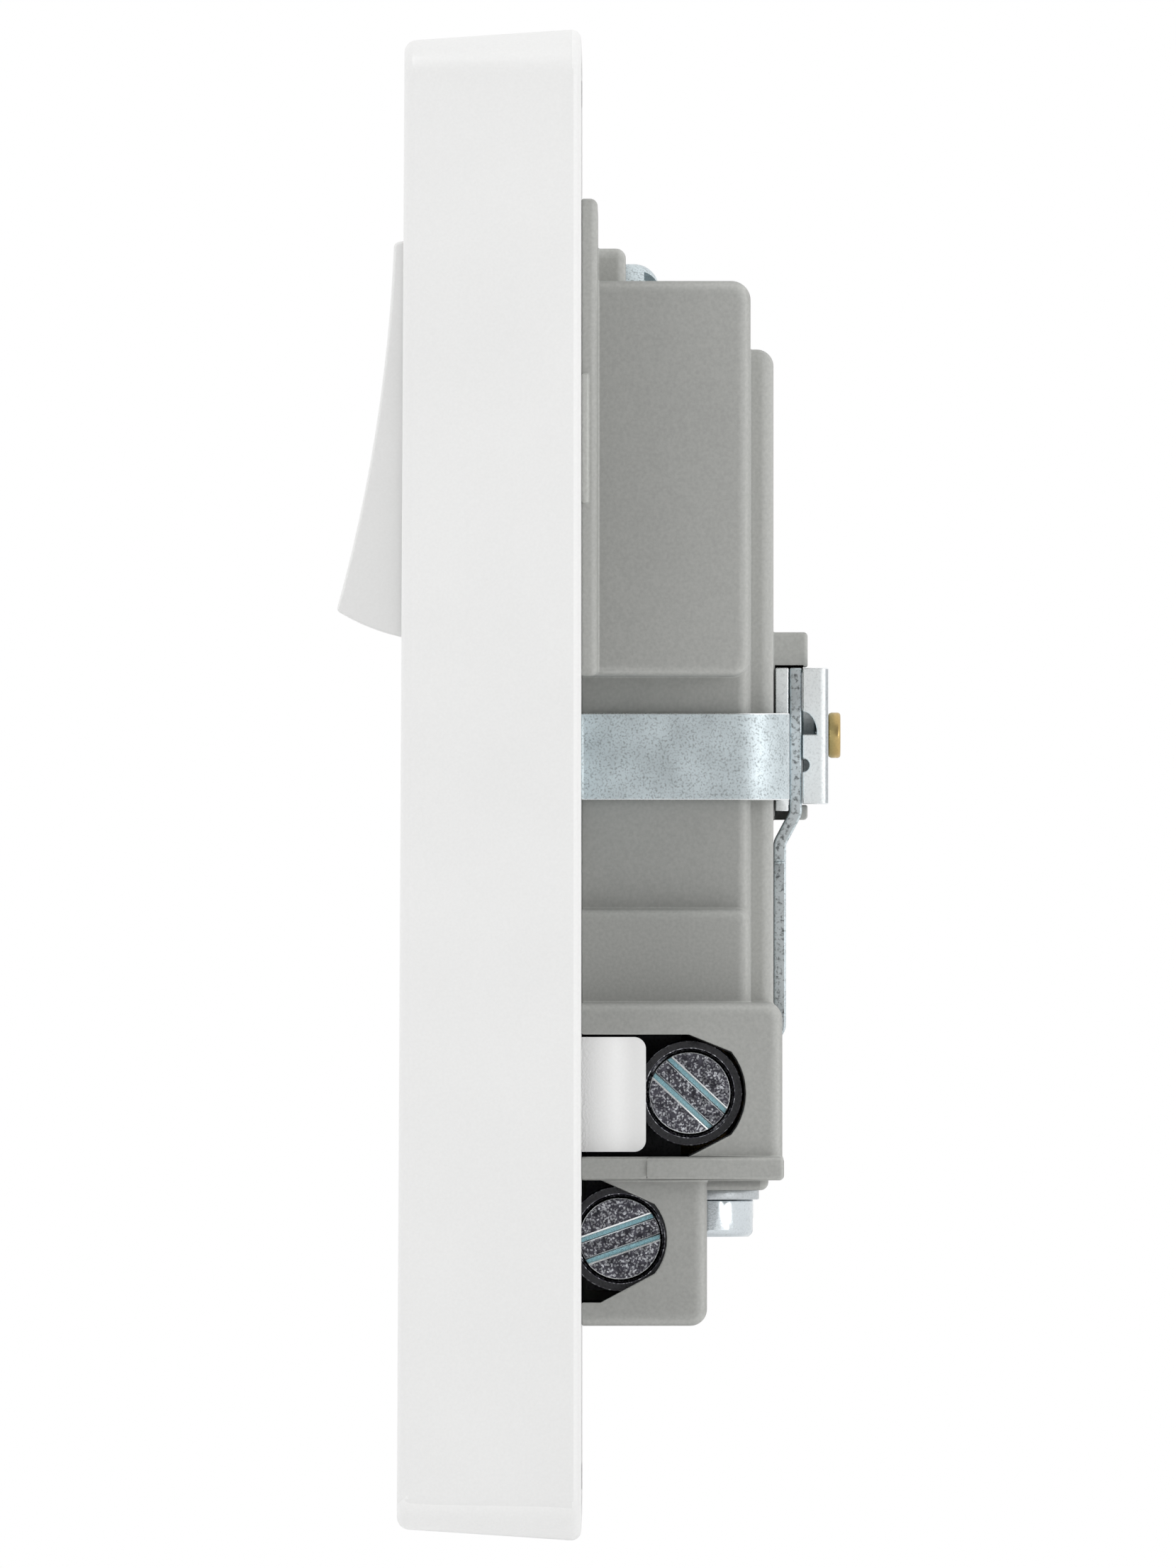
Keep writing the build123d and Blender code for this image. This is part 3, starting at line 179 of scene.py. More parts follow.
class SocketFinishes(PropertyGroup):
    """Colours and grain of the socket's materials, with lighter and darker copies that paint light and
    shade.
    """

    white_colour: colour("White plastic", "Colour of the plate and the rocker", (0.795, 0.795, 0.79))
    # Painted highlight: the plate's rear and lower rounded edges are made lighter than the white
    white_gain: plain_number("White gain", "How much lighter the plate's rear and lower edges are", 1.06)
    # Painted light: the legs are the plate's own white plastic, made lighter for the light that the
    # white walls round them throw
    painted_light_leg_colour: colour("White leg", "Colour of the plate's plain white legs", (0.96, 0.96, 0.955))
    white_grain: length("White grain", "Size of the fine moulded grain on white", 0.16 * MM)
    grey_colour: colour("Grey plastic", "Colour of the rear housing", (0.372, 0.376, 0.36))
    # Painted highlight: rounded grey edges made lighter by how far they lean
    edge_highlight_gain: plain_number("Edge highlight gain", "How much lighter rounded grey edges are", 1.3)
    # Painted light: the flange's clip and the top screw's boss take a lighter copy of the grey on their
    # sideways faces
    clip_gain: plain_number("Clip gain", "How much lighter the flange's clip and the top boss are", 1.6)
    # Painted light: the flange and the back layer take a lighter copy of the grey on their sideways
    # faces
    flange_gain: plain_number("Flange gain", "How much lighter the flange and the back layer are", 1.3)
    grey_grain: length("Grey grain", "Size of the fine moulded grain on grey", 0.2 * MM)
    # Painted shade: near-black grey put on the housing in the rooms around the terminals
    shadow_colour: colour("Inner grey", "Colour of the housing round the terminals", (0.02, 0.02, 0.02))
    zinc_colour: colour("Zinc", "Colour of the zinc plating", (0.745, 0.825, 0.855))
    zinc_grain: length("Zinc grain", "Size of the dark flecks in the zinc", 0.13 * MM)
    # Painted light: a lighter zinc for the bracket's sideways faces, the strap's cut horns and the bar's
    # boss
    bright_zinc_colour: colour("Bright zinc", "Colour of the freshly cut zinc", (0.97, 0.995, 1.0))
    # Darker zinc: painted shade on the bracket's bend, and the plain colour of the washers
    dull_zinc_colour: colour("Dull zinc", "Colour of bent zinc and the washers", (0.55, 0.58, 0.6))
    sheared_colour: colour("Sheared zinc", "Colour of the zinc where it is sheared", (0.74, 0.79, 0.81))
    # Lighter zinc on rounded edges: partly wear, partly a painted highlight
    zinc_edge_colour: colour("Zinc edge", "Colour of the zinc where edges are rubbed", (0.9, 0.93, 0.94))
    terminal_colour: colour("Terminal", "Colour of the terminal tubes and contacts", (0.06, 0.06, 0.064))
    screw_dark: colour("Screw, dark", "Dark crystals on the terminal screws", (0.11, 0.107, 0.13))
    screw_light: colour("Screw, light", "Light crystals on the terminal screws", (0.85, 0.87, 0.92))
    screw_grain: length("Screw grain", "Size of the crystals on the terminal screws", 0.1 * MM)
    # Slot sides: bluish cut zinc, lighter than the screw's face by a painted sheen
    slot_sheen_colour: colour("Screw slot", "Bluish colour of the slots' cut sides", (0.62, 0.86, 0.92))
    brass_colour: colour("Brass", "Colour of the rivet and the contacts", (0.58, 0.425, 0.18))
    head_colour: colour("Screw heads", "Colour of the bright screw heads", (0.66, 0.71, 0.74))
    silver_colour: colour("Contact silver", "Colour of the tips and the usb contacts", (0.82, 0.8, 0.74))
    steel_colour: colour("Bright steel", "Colour of the usb shells and springs", (0.62, 0.62, 0.63))
    black_colour: colour("Black plastic", "Colour of usb tongues and transformer", (0.025, 0.025, 0.028))
    board_colour: colour("Board", "Colour of the usb board's lacquer", (0.03, 0.13, 0.06))


class SocketSizes(PropertyGroup):
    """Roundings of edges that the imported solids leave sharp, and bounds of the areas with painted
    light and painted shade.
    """

    moulded_edge: length("Moulded edge", "Rounding of the grey moulding's edges", 0.12 * MM)
    plate_edge: length("Plate edge", "Rounding of the openings in the plate's face", 0.2 * MM)
    rocker_edge: length("Rocker edge", "Rounding of the rocker's edges", 0.18 * MM)
    sheet_edge: length("Sheet edge", "Rounding of the pressed metal's edges", 0.07 * MM)
    bar_edge: length("Bar edge", "Rounding of the earth bar's edges", 0.12 * MM)
    rivet_edge: length("Rivet edge", "Rounding of the rivet's head", 0.2 * MM)
    screw_edge: length("Screw edge", "Rounding of the screws' edges", 0.06 * MM)
    flange_depth: length("Flange depth", "Depth of the grey flange behind the plate", 1.05 * MM)
    flange_bottom: length("Flange bottom", "Height at which the grey flange begins", 6.3 * MM)
    clip_from: length("Clip from", "How far out the flange's clip begins", 33.25 * MM)
    boss_reach: length("Boss reach", "Half width of the top screw's boss", 4.4 * MM)
    boss_bottom: length("Boss bottom", "Height at which the top screw's boss begins", 26.2 * MM)
    back_reach: length("Back reach", "Half width of the back layer", 20.2 * MM)
    back_from: length("Back from", "Depth at which the back layer begins", 10.2 * MM)
    # Bounds of the painted shade round each terminal
    room_side: length("Room side", "How far a terminal's dark room goes past its ends", 0.5 * MM)
    room_round: length("Room round", "How far a terminal's dark room goes round it", 1.2 * MM)


class SocketStage(PropertyGroup):
    """Camera, light and floor."""

    camera_distance: length("Camera distance", "From the plate's side to the camera", 3.3)
    camera_aside: length("Camera aside", "How far toward the back the camera stands", 2 * MM)
    frame_height: length("Frame height", "Height that the picture shows at the plate", 93.25 * MM)
    look_y: length("Look at depth", "Depth of the picture's centre", 0.4 * MM)
    look_z: length("Look at height", "Height of the picture's centre", 0.063 * MM)
    floor_drop: length("Floor drop", "How far the floor lies below the socket", 10 * MM)
    floor_reach: length("Floor reach", "From the floor's centre to its edges", 3.0)
    floor_colour: colour("Floor", "Colour of the floor near the socket", (0.92, 0.92, 0.92))
    fade_from: length("Fade from", "How far off the floor begins to fade to white", 20 * MM)
    fade_to: length("Fade to", "How far off the floor is all white", 100 * MM)
    key_power: power("Key", "Power of the key light", 6.0)
    key_place: spot("Key place", "Where the key light stands", (0.85, -0.6, 1.1))
    fill_power: power("Fill", "Power of the fill light", 4.2)
    fill_place: spot("Fill place", "Where the fill light stands", (0.9, 0.9, 0.05))
    light_size: length("Light size", "Width of each light", 0.7)
    back_level: plain_number("Back level", "Light from the sides and behind", 1.0)
    front_level: plain_number("Front level", "Light from the camera's side", 0.3)
    dim_from: plain_number("Dim from", "How far round to the camera's side the light begins to dim", 0.3)
    dim_to: plain_number("Dim to", "How far round to the camera's side the light is dimmest", 0.92)


# Materials
def new_material(name, base, metallic, roughness):
    """A material with its principled shader set."""
    made = bpy.data.materials.new(name)
    made.use_nodes = True
    shader = made.node_tree.nodes["Principled BSDF"]
    shader.inputs["Base Color"].default_value = (*base, 1)
    shader.inputs["Metallic"].default_value = metallic
    shader.inputs["Roughness"].default_value = roughness
    return made, shader


def speckle(made, size, detail=2.0, roughness=0.5):
    """Noise on Object coordinates whose features are about size across."""
    nodes, links = made.node_tree.nodes, made.node_tree.links
    where = nodes.new("ShaderNodeTexCoord")
    noise = nodes.new("ShaderNodeTexNoise")
    noise.inputs["Scale"].default_value = 1 / size
    noise.inputs["Detail"].default_value = detail
    noise.inputs["Roughness"].default_value = roughness
    links.new(where.outputs["Object"], noise.inputs["Vector"])
    return noise.outputs["Fac"]


def facets(made, size):
    """Random level for each small crystal, about size across."""
    nodes, links = made.node_tree.nodes, made.node_tree.links
    where = nodes.new("ShaderNodeTexCoord")
    cells = nodes.new("ShaderNodeTexVoronoi")
    cells.inputs["Scale"].default_value = 1 / size
    parts = nodes.new("ShaderNodeSeparateXYZ")
    links.new(where.outputs["Object"], cells.inputs["Vector"])
    links.new(cells.outputs["Color"], parts.inputs["Vector"])
    return parts.outputs["X"]


def graded(made, source, low, high, low_at=0.3, high_at=0.7):
    """Colour ramp from low to high."""
    ramp = made.node_tree.nodes.new("ShaderNodeValToRGB")
    for stop, place, value in zip(ramp.color_ramp.elements, (low_at, high_at), (low, high)):
        stop.position = place
        stop.color = (*value, 1)
    made.node_tree.links.new(source, ramp.inputs["Fac"])
    return ramp.outputs["Color"]


def shade(base, factor):
    """A colour made darker or lighter."""
    return tuple(min(1.0, channel * factor) for channel in base)


def multiplied(made, one, other):
    """Product of two colours."""
    mix = made.node_tree.nodes.new("ShaderNodeMix")
    mix.data_type = "RGBA"
    mix.blend_type = "MULTIPLY"
    mix.inputs["Factor"].default_value = 1.0
    made.node_tree.links.new(one, mix.inputs["A"])
    made.node_tree.links.new(other, mix.inputs["B"])
    return mix.outputs["Result"]


def spread(made, source, low, high, low_at=0.3, high_at=0.7):
    """Number from low to high that follows a pattern."""
    ranged = made.node_tree.nodes.new("ShaderNodeMapRange")
    ranged.inputs["From Min"].default_value = low_at
    ranged.inputs["From Max"].default_value = high_at
    ranged.inputs["To Min"].default_value = low
    ranged.inputs["To Max"].default_value = high
    made.node_tree.links.new(source, ranged.inputs["Value"])
    return ranged.outputs["Result"]


def roughened(made, shader, height, depth, strength):
    """Bump of a given depth from a pattern."""
    bump = made.node_tree.nodes.new("ShaderNodeBump")
    bump.inputs["Strength"].default_value = strength
    bump.inputs["Distance"].default_value = depth
    made.node_tree.links.new(height, bump.inputs["Height"])
    made.node_tree.links.new(bump.outputs["Normal"], shader.inputs["Normal"])


def lean(made):
    """How far the surface leans from the main axes, from its own attribute."""
    attribute = made.node_tree.nodes.new("ShaderNodeAttribute")
    attribute.attribute_name = LEAN
    return attribute.outputs["Fac"]


def moulded_plastic(name, base, grain, roughness, contrast, tone, rubbed=1.0):
    """Moulded plastic with a fine grain, a faint drift of tone and a painted highlight that lightens
    rounded edges.
    """
    made, shader = new_material(name, base, metallic=0.0, roughness=roughness)
    links = made.node_tree.links
    fine = speckle(made, grain)
    broad = speckle(made, PLASTIC_DRIFT * grain)
    fine_colour = graded(made, fine, shade(base, 1 - contrast), shade(base, 1 + contrast))
    drift = graded(made, broad, (1 - tone,) * 3, (1.0,) * 3)
    # Painted highlight: lighter colour where the surface leans, on rounded edges
    edges = spread(made, lean(made), 1.0, rubbed, low_at=0.0, high_at=1.0)
    drifting = multiplied(made, fine_colour, drift)
    links.new(multiplied(made, drifting, edges), shader.inputs["Base Color"])
    uneven = spread(made, broad, roughness - ROUGHNESS_DRIFT, roughness + ROUGHNESS_DRIFT)
    links.new(uneven, shader.inputs["Roughness"])
    roughened(made, shader, fine, depth=PLASTIC_BUMP * grain, strength=0.5)
    return made


def plated_metal(name, base, grain, roughness, contrast):
    """Plated metal with dark flecks that come and go."""
    made, shader = new_material(name, base, metallic=1.0, roughness=roughness)
    links = made.node_tree.links
    flecks = speckle(made, grain, detail=4.0, roughness=0.6)
    broad = speckle(made, METAL_DRIFT * grain)
    flecked = graded(made, flecks, shade(base, 1 - contrast), base, low_at=0.34, high_at=0.5)
    drift = graded(made, broad, (1 - contrast / 2,) * 3, (1.0,) * 3)
    links.new(multiplied(made, flecked, drift), shader.inputs["Base Color"])
    uneven = spread(made, flecks, roughness + FLECK_ROUGHNESS, roughness - ROUGHNESS_DRIFT)
    links.new(uneven, shader.inputs["Roughness"])
    roughened(made, shader, flecks, depth=METAL_BUMP * grain, strength=0.5)
    return made


def crystalline_metal(name, dark, light, grain, roughness):
    """Plated metal with light crystals on a dark ground."""
    made, shader = new_material(name, light, metallic=1.0, roughness=roughness)
    links = made.node_tree.links
    crystals = facets(made, grain)
    patches = speckle(made, CRYSTAL_PATCH * grain, detail=4.0)
    mixed = graded(made, crystals, dark, light, low_at=0.55, high_at=1.0)
    drift = graded(made, patches, (0.4,) * 3, (1.0,) * 3, low_at=0.35, high_at=0.65)
    links.new(multiplied(made, mixed, drift), shader.inputs["Base Color"])
    roughened(made, shader, patches, depth=CRYSTAL_BUMP * grain, strength=0.6)
    return made


def finish_makers(finishes):
    """What makes each finish, by its name."""
    white = partial(
        moulded_plastic, grain=finishes.white_grain, roughness=0.4, contrast=0.015, tone=0.02
    )
    grey = partial(moulded_plastic, grain=finishes.grey_grain, contrast=0.07, tone=0.05)
    dark = partial(moulded_plastic, grain=finishes.grey_grain, tone=0.1)
    plate = partial(plated_metal, grain=finishes.zinc_grain)
    # Lighter copy of the white, a painted highlight on the plate's rear and lower edges
    highlit_white = shade(finishes.white_colour, finishes.white_gain)
    # Lighter copy of the grey, painted light on the flange and the back layer
    painted_light_flange_grey = shade(finishes.grey_colour, finishes.flange_gain)
    # Lighter copy of the grey, painted light on the clip and the top boss
    painted_light_clip_grey = shade(finishes.grey_colour, finishes.clip_gain)
    return {
        "white_moulding": partial(white, base=finishes.white_colour),
        "white_rubbed": partial(white, base=highlit_white),
        "white_leg": partial(white, base=finishes.painted_light_leg_colour),
        "grey_moulding": partial(
            grey, base=finishes.grey_colour, roughness=0.55, rubbed=finishes.edge_highlight_gain
        ),
        "grey_flange": partial(grey, base=painted_light_flange_grey, roughness=0.5),
        "grey_clip": partial(grey, base=painted_light_clip_grey, roughness=0.5),
        "inner_moulding": partial(grey, base=finishes.shadow_colour, roughness=0.8),
        "black_moulding": partial(dark, base=finishes.black_colour, roughness=0.45, contrast=0.1),
        "board_lacquer": partial(dark, base=finishes.board_colour, roughness=0.3, contrast=0.08),
        "zinc_plate": partial(plate, base=finishes.zinc_colour, roughness=0.48, contrast=0.4),
        "bright_zinc": partial(
            plate, base=finishes.bright_zinc_colour, roughness=0.6, contrast=0.12
        ),
        "dull_zinc": partial(plate, base=finishes.dull_zinc_colour, roughness=0.35, contrast=0.2),
        "sheared_zinc": partial(
            plate,
            base=finishes.sheared_colour,
            grain=2 * finishes.zinc_grain,
            roughness=0.45,
            contrast=0.7,
        ),
        "zinc_edge": partial(plate, base=finishes.zinc_edge_colour, roughness=0.25, contrast=0.05),
        "screw_head": partial(plate, base=finishes.head_colour, roughness=0.14, contrast=0.1),
        "screw_slot": partial(plate, base=finishes.slot_sheen_colour, roughness=0.25, contrast=0.1),
        "screw_face": partial(
            crystalline_metal,
            dark=finishes.screw_dark,
            light=finishes.screw_light,
            grain=finishes.screw_grain,
            roughness=0.3,
        ),
        "dark_terminal": partial(plate, base=finishes.terminal_colour, roughness=0.4, contrast=0.3),
        "yellow_brass": partial(plate, base=finishes.brass_colour, roughness=0.3, contrast=0.1),
        "contact_silver": partial(plate, base=finishes.silver_colour, roughness=0.25, contrast=0.05),
        "spring_steel": partial(plate, base=finishes.steel_colour, roughness=0.25, contrast=0.08),
    }


def material(name):
    """The named finish, made once."""
    found = bpy.data.materials.get(name)
    if found:
        return found
    makers = finish_makers(bpy.context.scene.socket_finishes)
    return makers[name](name)


# Shapes
def paint(node_name, finish):
    """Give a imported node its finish, with its shape as it is."""
    for place in frame["nodes"][node_name].material_slots:
        place.material = material(finish)


def body_of(node_name):
    """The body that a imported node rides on."""
    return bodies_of(frame["nodes"][node_name])[0]


def everywhere(place):
    """True for every place."""
    return True


def nowhere(place):
    """False for every place."""
    return False


def is_inside(place, low, high):
    """True for a place in a box."""
    return all(low[axis] < place[axis] < high[axis] for axis in range(3))


def is_rounded(face):
    """True for a face that looks along none of the main axes."""
    return max(abs(part) for part in face.normal) < ALONG_AXIS


def on_line_side(face):
    """True for a face that looks to the side of the line terminals."""
    return face.normal.x > TURNED_TO


def rounded(node_name, finish, edge_round, edge_finish=None, where=everywhere, areas=()):
    """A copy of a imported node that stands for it, with the sharp edges rounded.

    Only edges where the test holds are rounded, and they may have a finish of their own.
    Areas are pairs of a finish and a test on a face.
    """
    shape = bmesh.new()
    shape.from_mesh(frame["nodes"][node_name].data)
    bmesh.ops.remove_doubles(shape, verts=shape.verts, dist=MERGE_DISTANCE)
    bmesh.ops.dissolve_limit(shape, angle_limit=FLAT_ANGLE, verts=shape.verts, edges=shape.edges)
    sharp = [
        edge
        for edge in shape.edges
        if len(edge.link_faces) == 2
        and edge.calc_face_angle() > SHARP_ANGLE
        and all(where(corner.co) for corner in edge.verts)
    ]
    made = bmesh.ops.bevel(
        shape,
        geom=sharp,
        offset=edge_round,
        affect="EDGES",
        segments=2,
        profile=0.5,
        material=-1,
        clamp_overlap=False,
    )
    shape.normal_update()
    leaning = shape.verts.layers.float.new(LEAN)
    for corner in shape.verts:
        corner[leaning] = min(1.0, (1 - max(abs(part) for part in corner.normal)) / FULL_LEAN)
    finishes = [finish] + [area_finish for area_finish, _ in areas]
    for face in shape.faces:
        face.smooth = True
        face.material_index = 0
        for number, (_, inside) in enumerate(areas, 1):
            if inside(face):
                face.material_index = number
    if edge_finish:
        for face in made["faces"]:
            face.material_index = len(finishes)
        finishes.append(edge_finish)
    mesh = bpy.data.meshes.new(f"{node_name}_finished")
    shape.to_mesh(mesh)
    shape.free()
    for used in finishes:
        mesh.materials.append(material(used))
    piece = bpy.data.objects.new(f"{node_name}_finished", mesh)
    bpy.context.scene.collection.objects.link(piece)
    weighted = piece.modifiers.new("Even shading", "WEIGHTED_NORMAL")
    weighted.mode = "FACE_AREA"
    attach(piece, body_of(node_name))
    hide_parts(node_name)
    return piece


# Operators
class SOCKET_OT_front_plate(Operator):
    """Finish the white front plate"""

    bl_idname = "socket.front_plate"
    bl_label = "Front plate"

    def execute(self, context):
        sizes = context.scene.socket_sizes
        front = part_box("front_plate")[0].y
        terminals = [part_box(f"{pole}_terminal_upper") for pole in POLES]
        leg_bottom = max(low.z for low, _ in terminals) - sizes.room_round
        leg_top = min(high.z for _, high in terminals) + sizes.room_round

        def at_face(place):
            return place.y < front + FACE_DEPTH * sizes.plate_edge

        # Rounded faces that look back or down take the painted highlight
        def on_outer_edge(face):
            faces_back = face.normal.y > JUST_TURNED
            faces_down = face.normal.z < -JUST_TURNED
            return is_rounded(face) and (faces_back or faces_down)

        # The legs take the lighter white, painted light
        def on_leg(face):
            place = face.calc_center_median()
            return leg_bottom < place.z < leg_top and place.y > 0

        rounded(
            "front_plate",
            "white_moulding",
            sizes.plate_edge,
            where=at_face,
            areas=[("white_rubbed", on_outer_edge), ("white_leg", on_leg)],
        )
        return {"FINISHED"}


class SOCKET_OT_rocker(Operator):
    """Finish the rocker"""

    bl_idname = "socket.rocker"
    bl_label = "Rocker"

    def execute(self, context):
        sizes = context.scene.socket_sizes
        rounded("rocker", "white_moulding", sizes.rocker_edge)
        return {"FINISHED"}


class SOCKET_OT_rear_housing(Operator):
    """Finish the grey rear housing, with painted light on its flange, clip, top boss and back layer, and
    painted shade in the rooms around the terminals
    """

    bl_idname = "socket.rear_housing"
    bl_label = "Rear housing"

    def execute(self, context):
        sizes = context.scene.socket_sizes
        # Rooms of painted shade around the terminals
        grow = Vector((sizes.room_side, sizes.room_round, sizes.room_round))
        terminals = [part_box(f"{pole}_terminal_{level}") for pole in POLES for level in LEVELS]
        rooms = [(low - grow, high + grow) for low, high in terminals]

        # The flange and the back layer take painted light on faces that look to the line side
        def on_flange(face):
            place = face.calc_center_median()
            behind_plate = 0 < place.y < sizes.flange_depth
            return on_line_side(face) and behind_plate and place.z > sizes.flange_bottom

        # The clip and the top boss take painted light on faces that look to the line side
        def on_clip(face):
            return on_line_side(face) and face.calc_center_median().x > sizes.clip_from

        def on_boss(face):
            place = face.calc_center_median()
            at_boss = abs(place.x) < sizes.boss_reach and place.z > sizes.boss_bottom
            return on_line_side(face) and at_boss and place.y > 0

        def on_back(face):
            place = face.calc_center_median()
            at_back = abs(place.x) < sizes.back_reach and place.y > sizes.back_from
            return on_line_side(face) and at_back

        def in_shaded_room(face):
            place = face.calc_center_median()
            for low, high in rooms:
                starts_inside = any(is_inside(corner.co, low, high) for corner in face.verts)
                runs_out_behind = starts_inside and place.y > high.y
                if is_inside(place, low, high) or runs_out_behind:
                    return True
            return False

        rounded(
            "rear_housing",
            "grey_moulding",
            sizes.moulded_edge,
            areas=[
                ("grey_flange", on_flange),
                ("grey_flange", on_back),
                ("grey_clip", on_clip),
                ("grey_clip", on_boss),
                ("inner_moulding", in_shaded_room),
            ],
        )
        return {"FINISHED"}


class SOCKET_OT_terminals(Operator):
    """Finish the terminal tubes, their pads and their slotted screws"""

    bl_idname = "socket.terminals"
    bl_label = "Terminals"

    def execute(self, context):
        sizes = context.scene.socket_sizes
        for pole in POLES:
            for level in LEVELS:
                # The tubes' rounded edges take the lighter crystalline screw finish: partly wear, partly
                # a painted highlight
                rounded(
                    f"{pole}_terminal_{level}",
                    "dark_terminal",
                    sizes.screw_edge,
                    edge_finish="screw_face",
                )
                paint(f"{pole}_pad_{level}", "zinc_plate")
                self.slotted_screw(f"{pole}_screw_{level}", sizes.screw_edge)
        return {"FINISHED"}

    def slotted_screw(self, node_name, edge_round):
        """A screw with lighter rims, partly wear and partly a painted highlight, and bluish slot sides
        with a painted sheen.
        """
        low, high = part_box(node_name)
        axis = (low + high) / 2
        inner_radius = (high.z - low.z) / 2 - RIM_WIDTH * edge_round

        # The slot's sides take the bluish finish with its painted sheen
        def beside_slot(face):
            place = face.calc_center_median() - axis
            leans = abs(face.normal.x) < NEARLY_ALONG
            return leans and math.hypot(place.y, place.z) < inner_radius

        rounded(
            node_name,
            "screw_face",
            edge_round,
            edge_finish="zinc_edge",
            areas=[("screw_slot", beside_slot)],
        )


class SOCKET_OT_earth_metalwork(Operator):
    """Finish the earth strap, bar, bracket, rivet, terminal and screws"""

    bl_idname = "socket.earth_metalwork"
    bl_label = "Earth metalwork"

    def execute(self, context):
        sizes = context.scene.socket_sizes
        bracket_low, bracket_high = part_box("earth_bracket")

        # The bracket's sideways faces take the lighter zinc, painted light
        def is_aside(face):
            return abs(face.normal.x) > HALF_ALONG

        def is_cut(face):
            return abs(face.normal.x) > NEARLY_ALONG

        # The strap's cut horns take the lighter zinc, painted light
        def on_horn(face):
            return is_cut(face) and abs(face.calc_center_median().x) < bracket_high.x

        # The bar's boss takes the lighter zinc, painted light where it sits in shade
        def on_boss(face):
            return face.calc_center_median().y > bracket_low.y

        # The bracket's bend takes the darker zinc, painted shade where it turns away
        def on_shaded_bend(face):
            return is_rounded(face) and face.normal.y > BENT_TOWARD

        rounded(
            "earth_strap",
            "zinc_plate",
            sizes.sheet_edge,
            edge_finish="zinc_edge",
            areas=[("bright_zinc", on_horn)],
        )
        rounded(
            "earth_bar",
            "zinc_plate",
            sizes.bar_edge,
            edge_finish="zinc_plate",
            areas=[("sheared_zinc", is_cut), ("bright_zinc", on_boss)],
        )
        rounded(
            "earth_bracket",
            "zinc_plate",
            sizes.sheet_edge,
            edge_finish="zinc_edge",
            areas=[("bright_zinc", is_aside), ("dull_zinc", on_shaded_bend)],
        )
        rounded("earth_rivet", "yellow_brass", sizes.rivet_edge)
        paint("earth_terminal", "yellow_brass")
        for side in SIDES:
            rounded(f"earth_screw_{side}", "screw_head", sizes.sheet_edge)
            rounded(f"earth_washer_{side}", "dull_zinc", sizes.sheet_edge)
        return {"FINISHED"}


class SOCKET_OT_assembly_screws(Operator):
    """Finish the screws that hold the rear housing"""

    bl_idname = "socket.assembly_screws"
    bl_label = "Assembly screws"

    def execute(self, context):
        paint("assembly_screws", "zinc_plate")
        return {"FINISHED"}


class SOCKET_OT_switch(Operator):
    """Finish the switch behind the rocker and the contacts"""

    bl_idname = "socket.switch"
    bl_label = "Switch"

    def execute(self, context):
        paint("rocker_plunger", "white_moulding")
        paint("rocker_spring", "spring_steel")
        for name in ("switch_blade", "line_contact", "earth_contact"):
            paint(name, "yellow_brass")
        # The feed and neutral contacts take the dark terminal finish instead of brass, so that they look
        # dark behind the terminals
        for name in ("feed_contact", "neutral_contact"):
            paint(name, "dark_terminal")
        for name in ("blade_tip", "feed_tip"):
            paint(name, "contact_silver")
        return {"FINISHED"}


class SOCKET_OT_shutter(Operator):
    """Finish the shutter and the spring that it presses down"""

    bl_idname = "socket.shutter"
    bl_label = "Shutter"

    def execute(self, context):
        sizes = context.scene.socket_sizes
        paint("shutter", "white_moulding")
        spring = rounded(
            "shutter_spring", "spring_steel", sizes.screw_edge, where=nowhere
        )
        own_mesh(spring)
        return {"FINISHED"}


class SOCKET_OT_usb(Operator):
    """Finish the usb ports and the board behind them"""

    bl_idname = "socket.usb"
    bl_label = "Usb supply"

    def execute(self, context):
        for level in LEVELS:
            paint(f"usb_port_{level}", "spring_steel")
            paint(f"usb_tongue_{level}", "black_moulding")
        paint("usb_contacts", "contact_silver")
        paint("usb_board", "board_lacquer")
        for name in ("usb_transformer", "usb_capacitors"):
            paint(name, "black_moulding")
        return {"FINISHED"}


# Stage
def any_ray(nodes, links, kinds):
    """One for rays of the named kinds."""
    path = nodes.new("ShaderNodeLightPath")
    found = path.outputs[kinds[0]]
    for kind in kinds[1:]:
        either = nodes.new("ShaderNodeMath")
        either.operation = "MAXIMUM"
        links.new(found, either.inputs[0])
        links.new(path.outputs[kind], either.inputs[1])
        found = either.outputs["Value"]
    return found


def light_world(stage):
    """Surroundings that are white to see, and whose light is dimmer on the camera's side."""
    world = bpy.data.worlds.new("white_studio")
    world.use_nodes = True
    nodes, links = world.node_tree.nodes, world.node_tree.links
    background = nodes["Background"]
    background.inputs["Color"].default_value = (1, 1, 1, 1)
    where = nodes.new("ShaderNodeTexCoord")
    parts = nodes.new("ShaderNodeSeparateXYZ")
    links.new(where.outputs["Generated"], parts.inputs["Vector"])
    around = nodes.new("ShaderNodeMapRange")
    around.interpolation_type = "SMOOTHSTEP"
    around.inputs["From Min"].default_value = stage.dim_from
    around.inputs["From Max"].default_value = stage.dim_to
    around.inputs["To Min"].default_value = stage.back_level
    around.inputs["To Max"].default_value = stage.front_level
    links.new(parts.outputs["X"], around.inputs["Value"])
    seen = nodes.new("ShaderNodeMix")
    seen.inputs["B"].default_value = 1.0
    shown = any_ray(nodes, links, ("Is Camera Ray", "Is Transmission Ray"))
    links.new(shown, seen.inputs["Factor"])
    links.new(around.outputs["Result"], seen.inputs["A"])
    links.new(seen.outputs["Result"], background.inputs["Strength"])
    bpy.context.scene.world = world


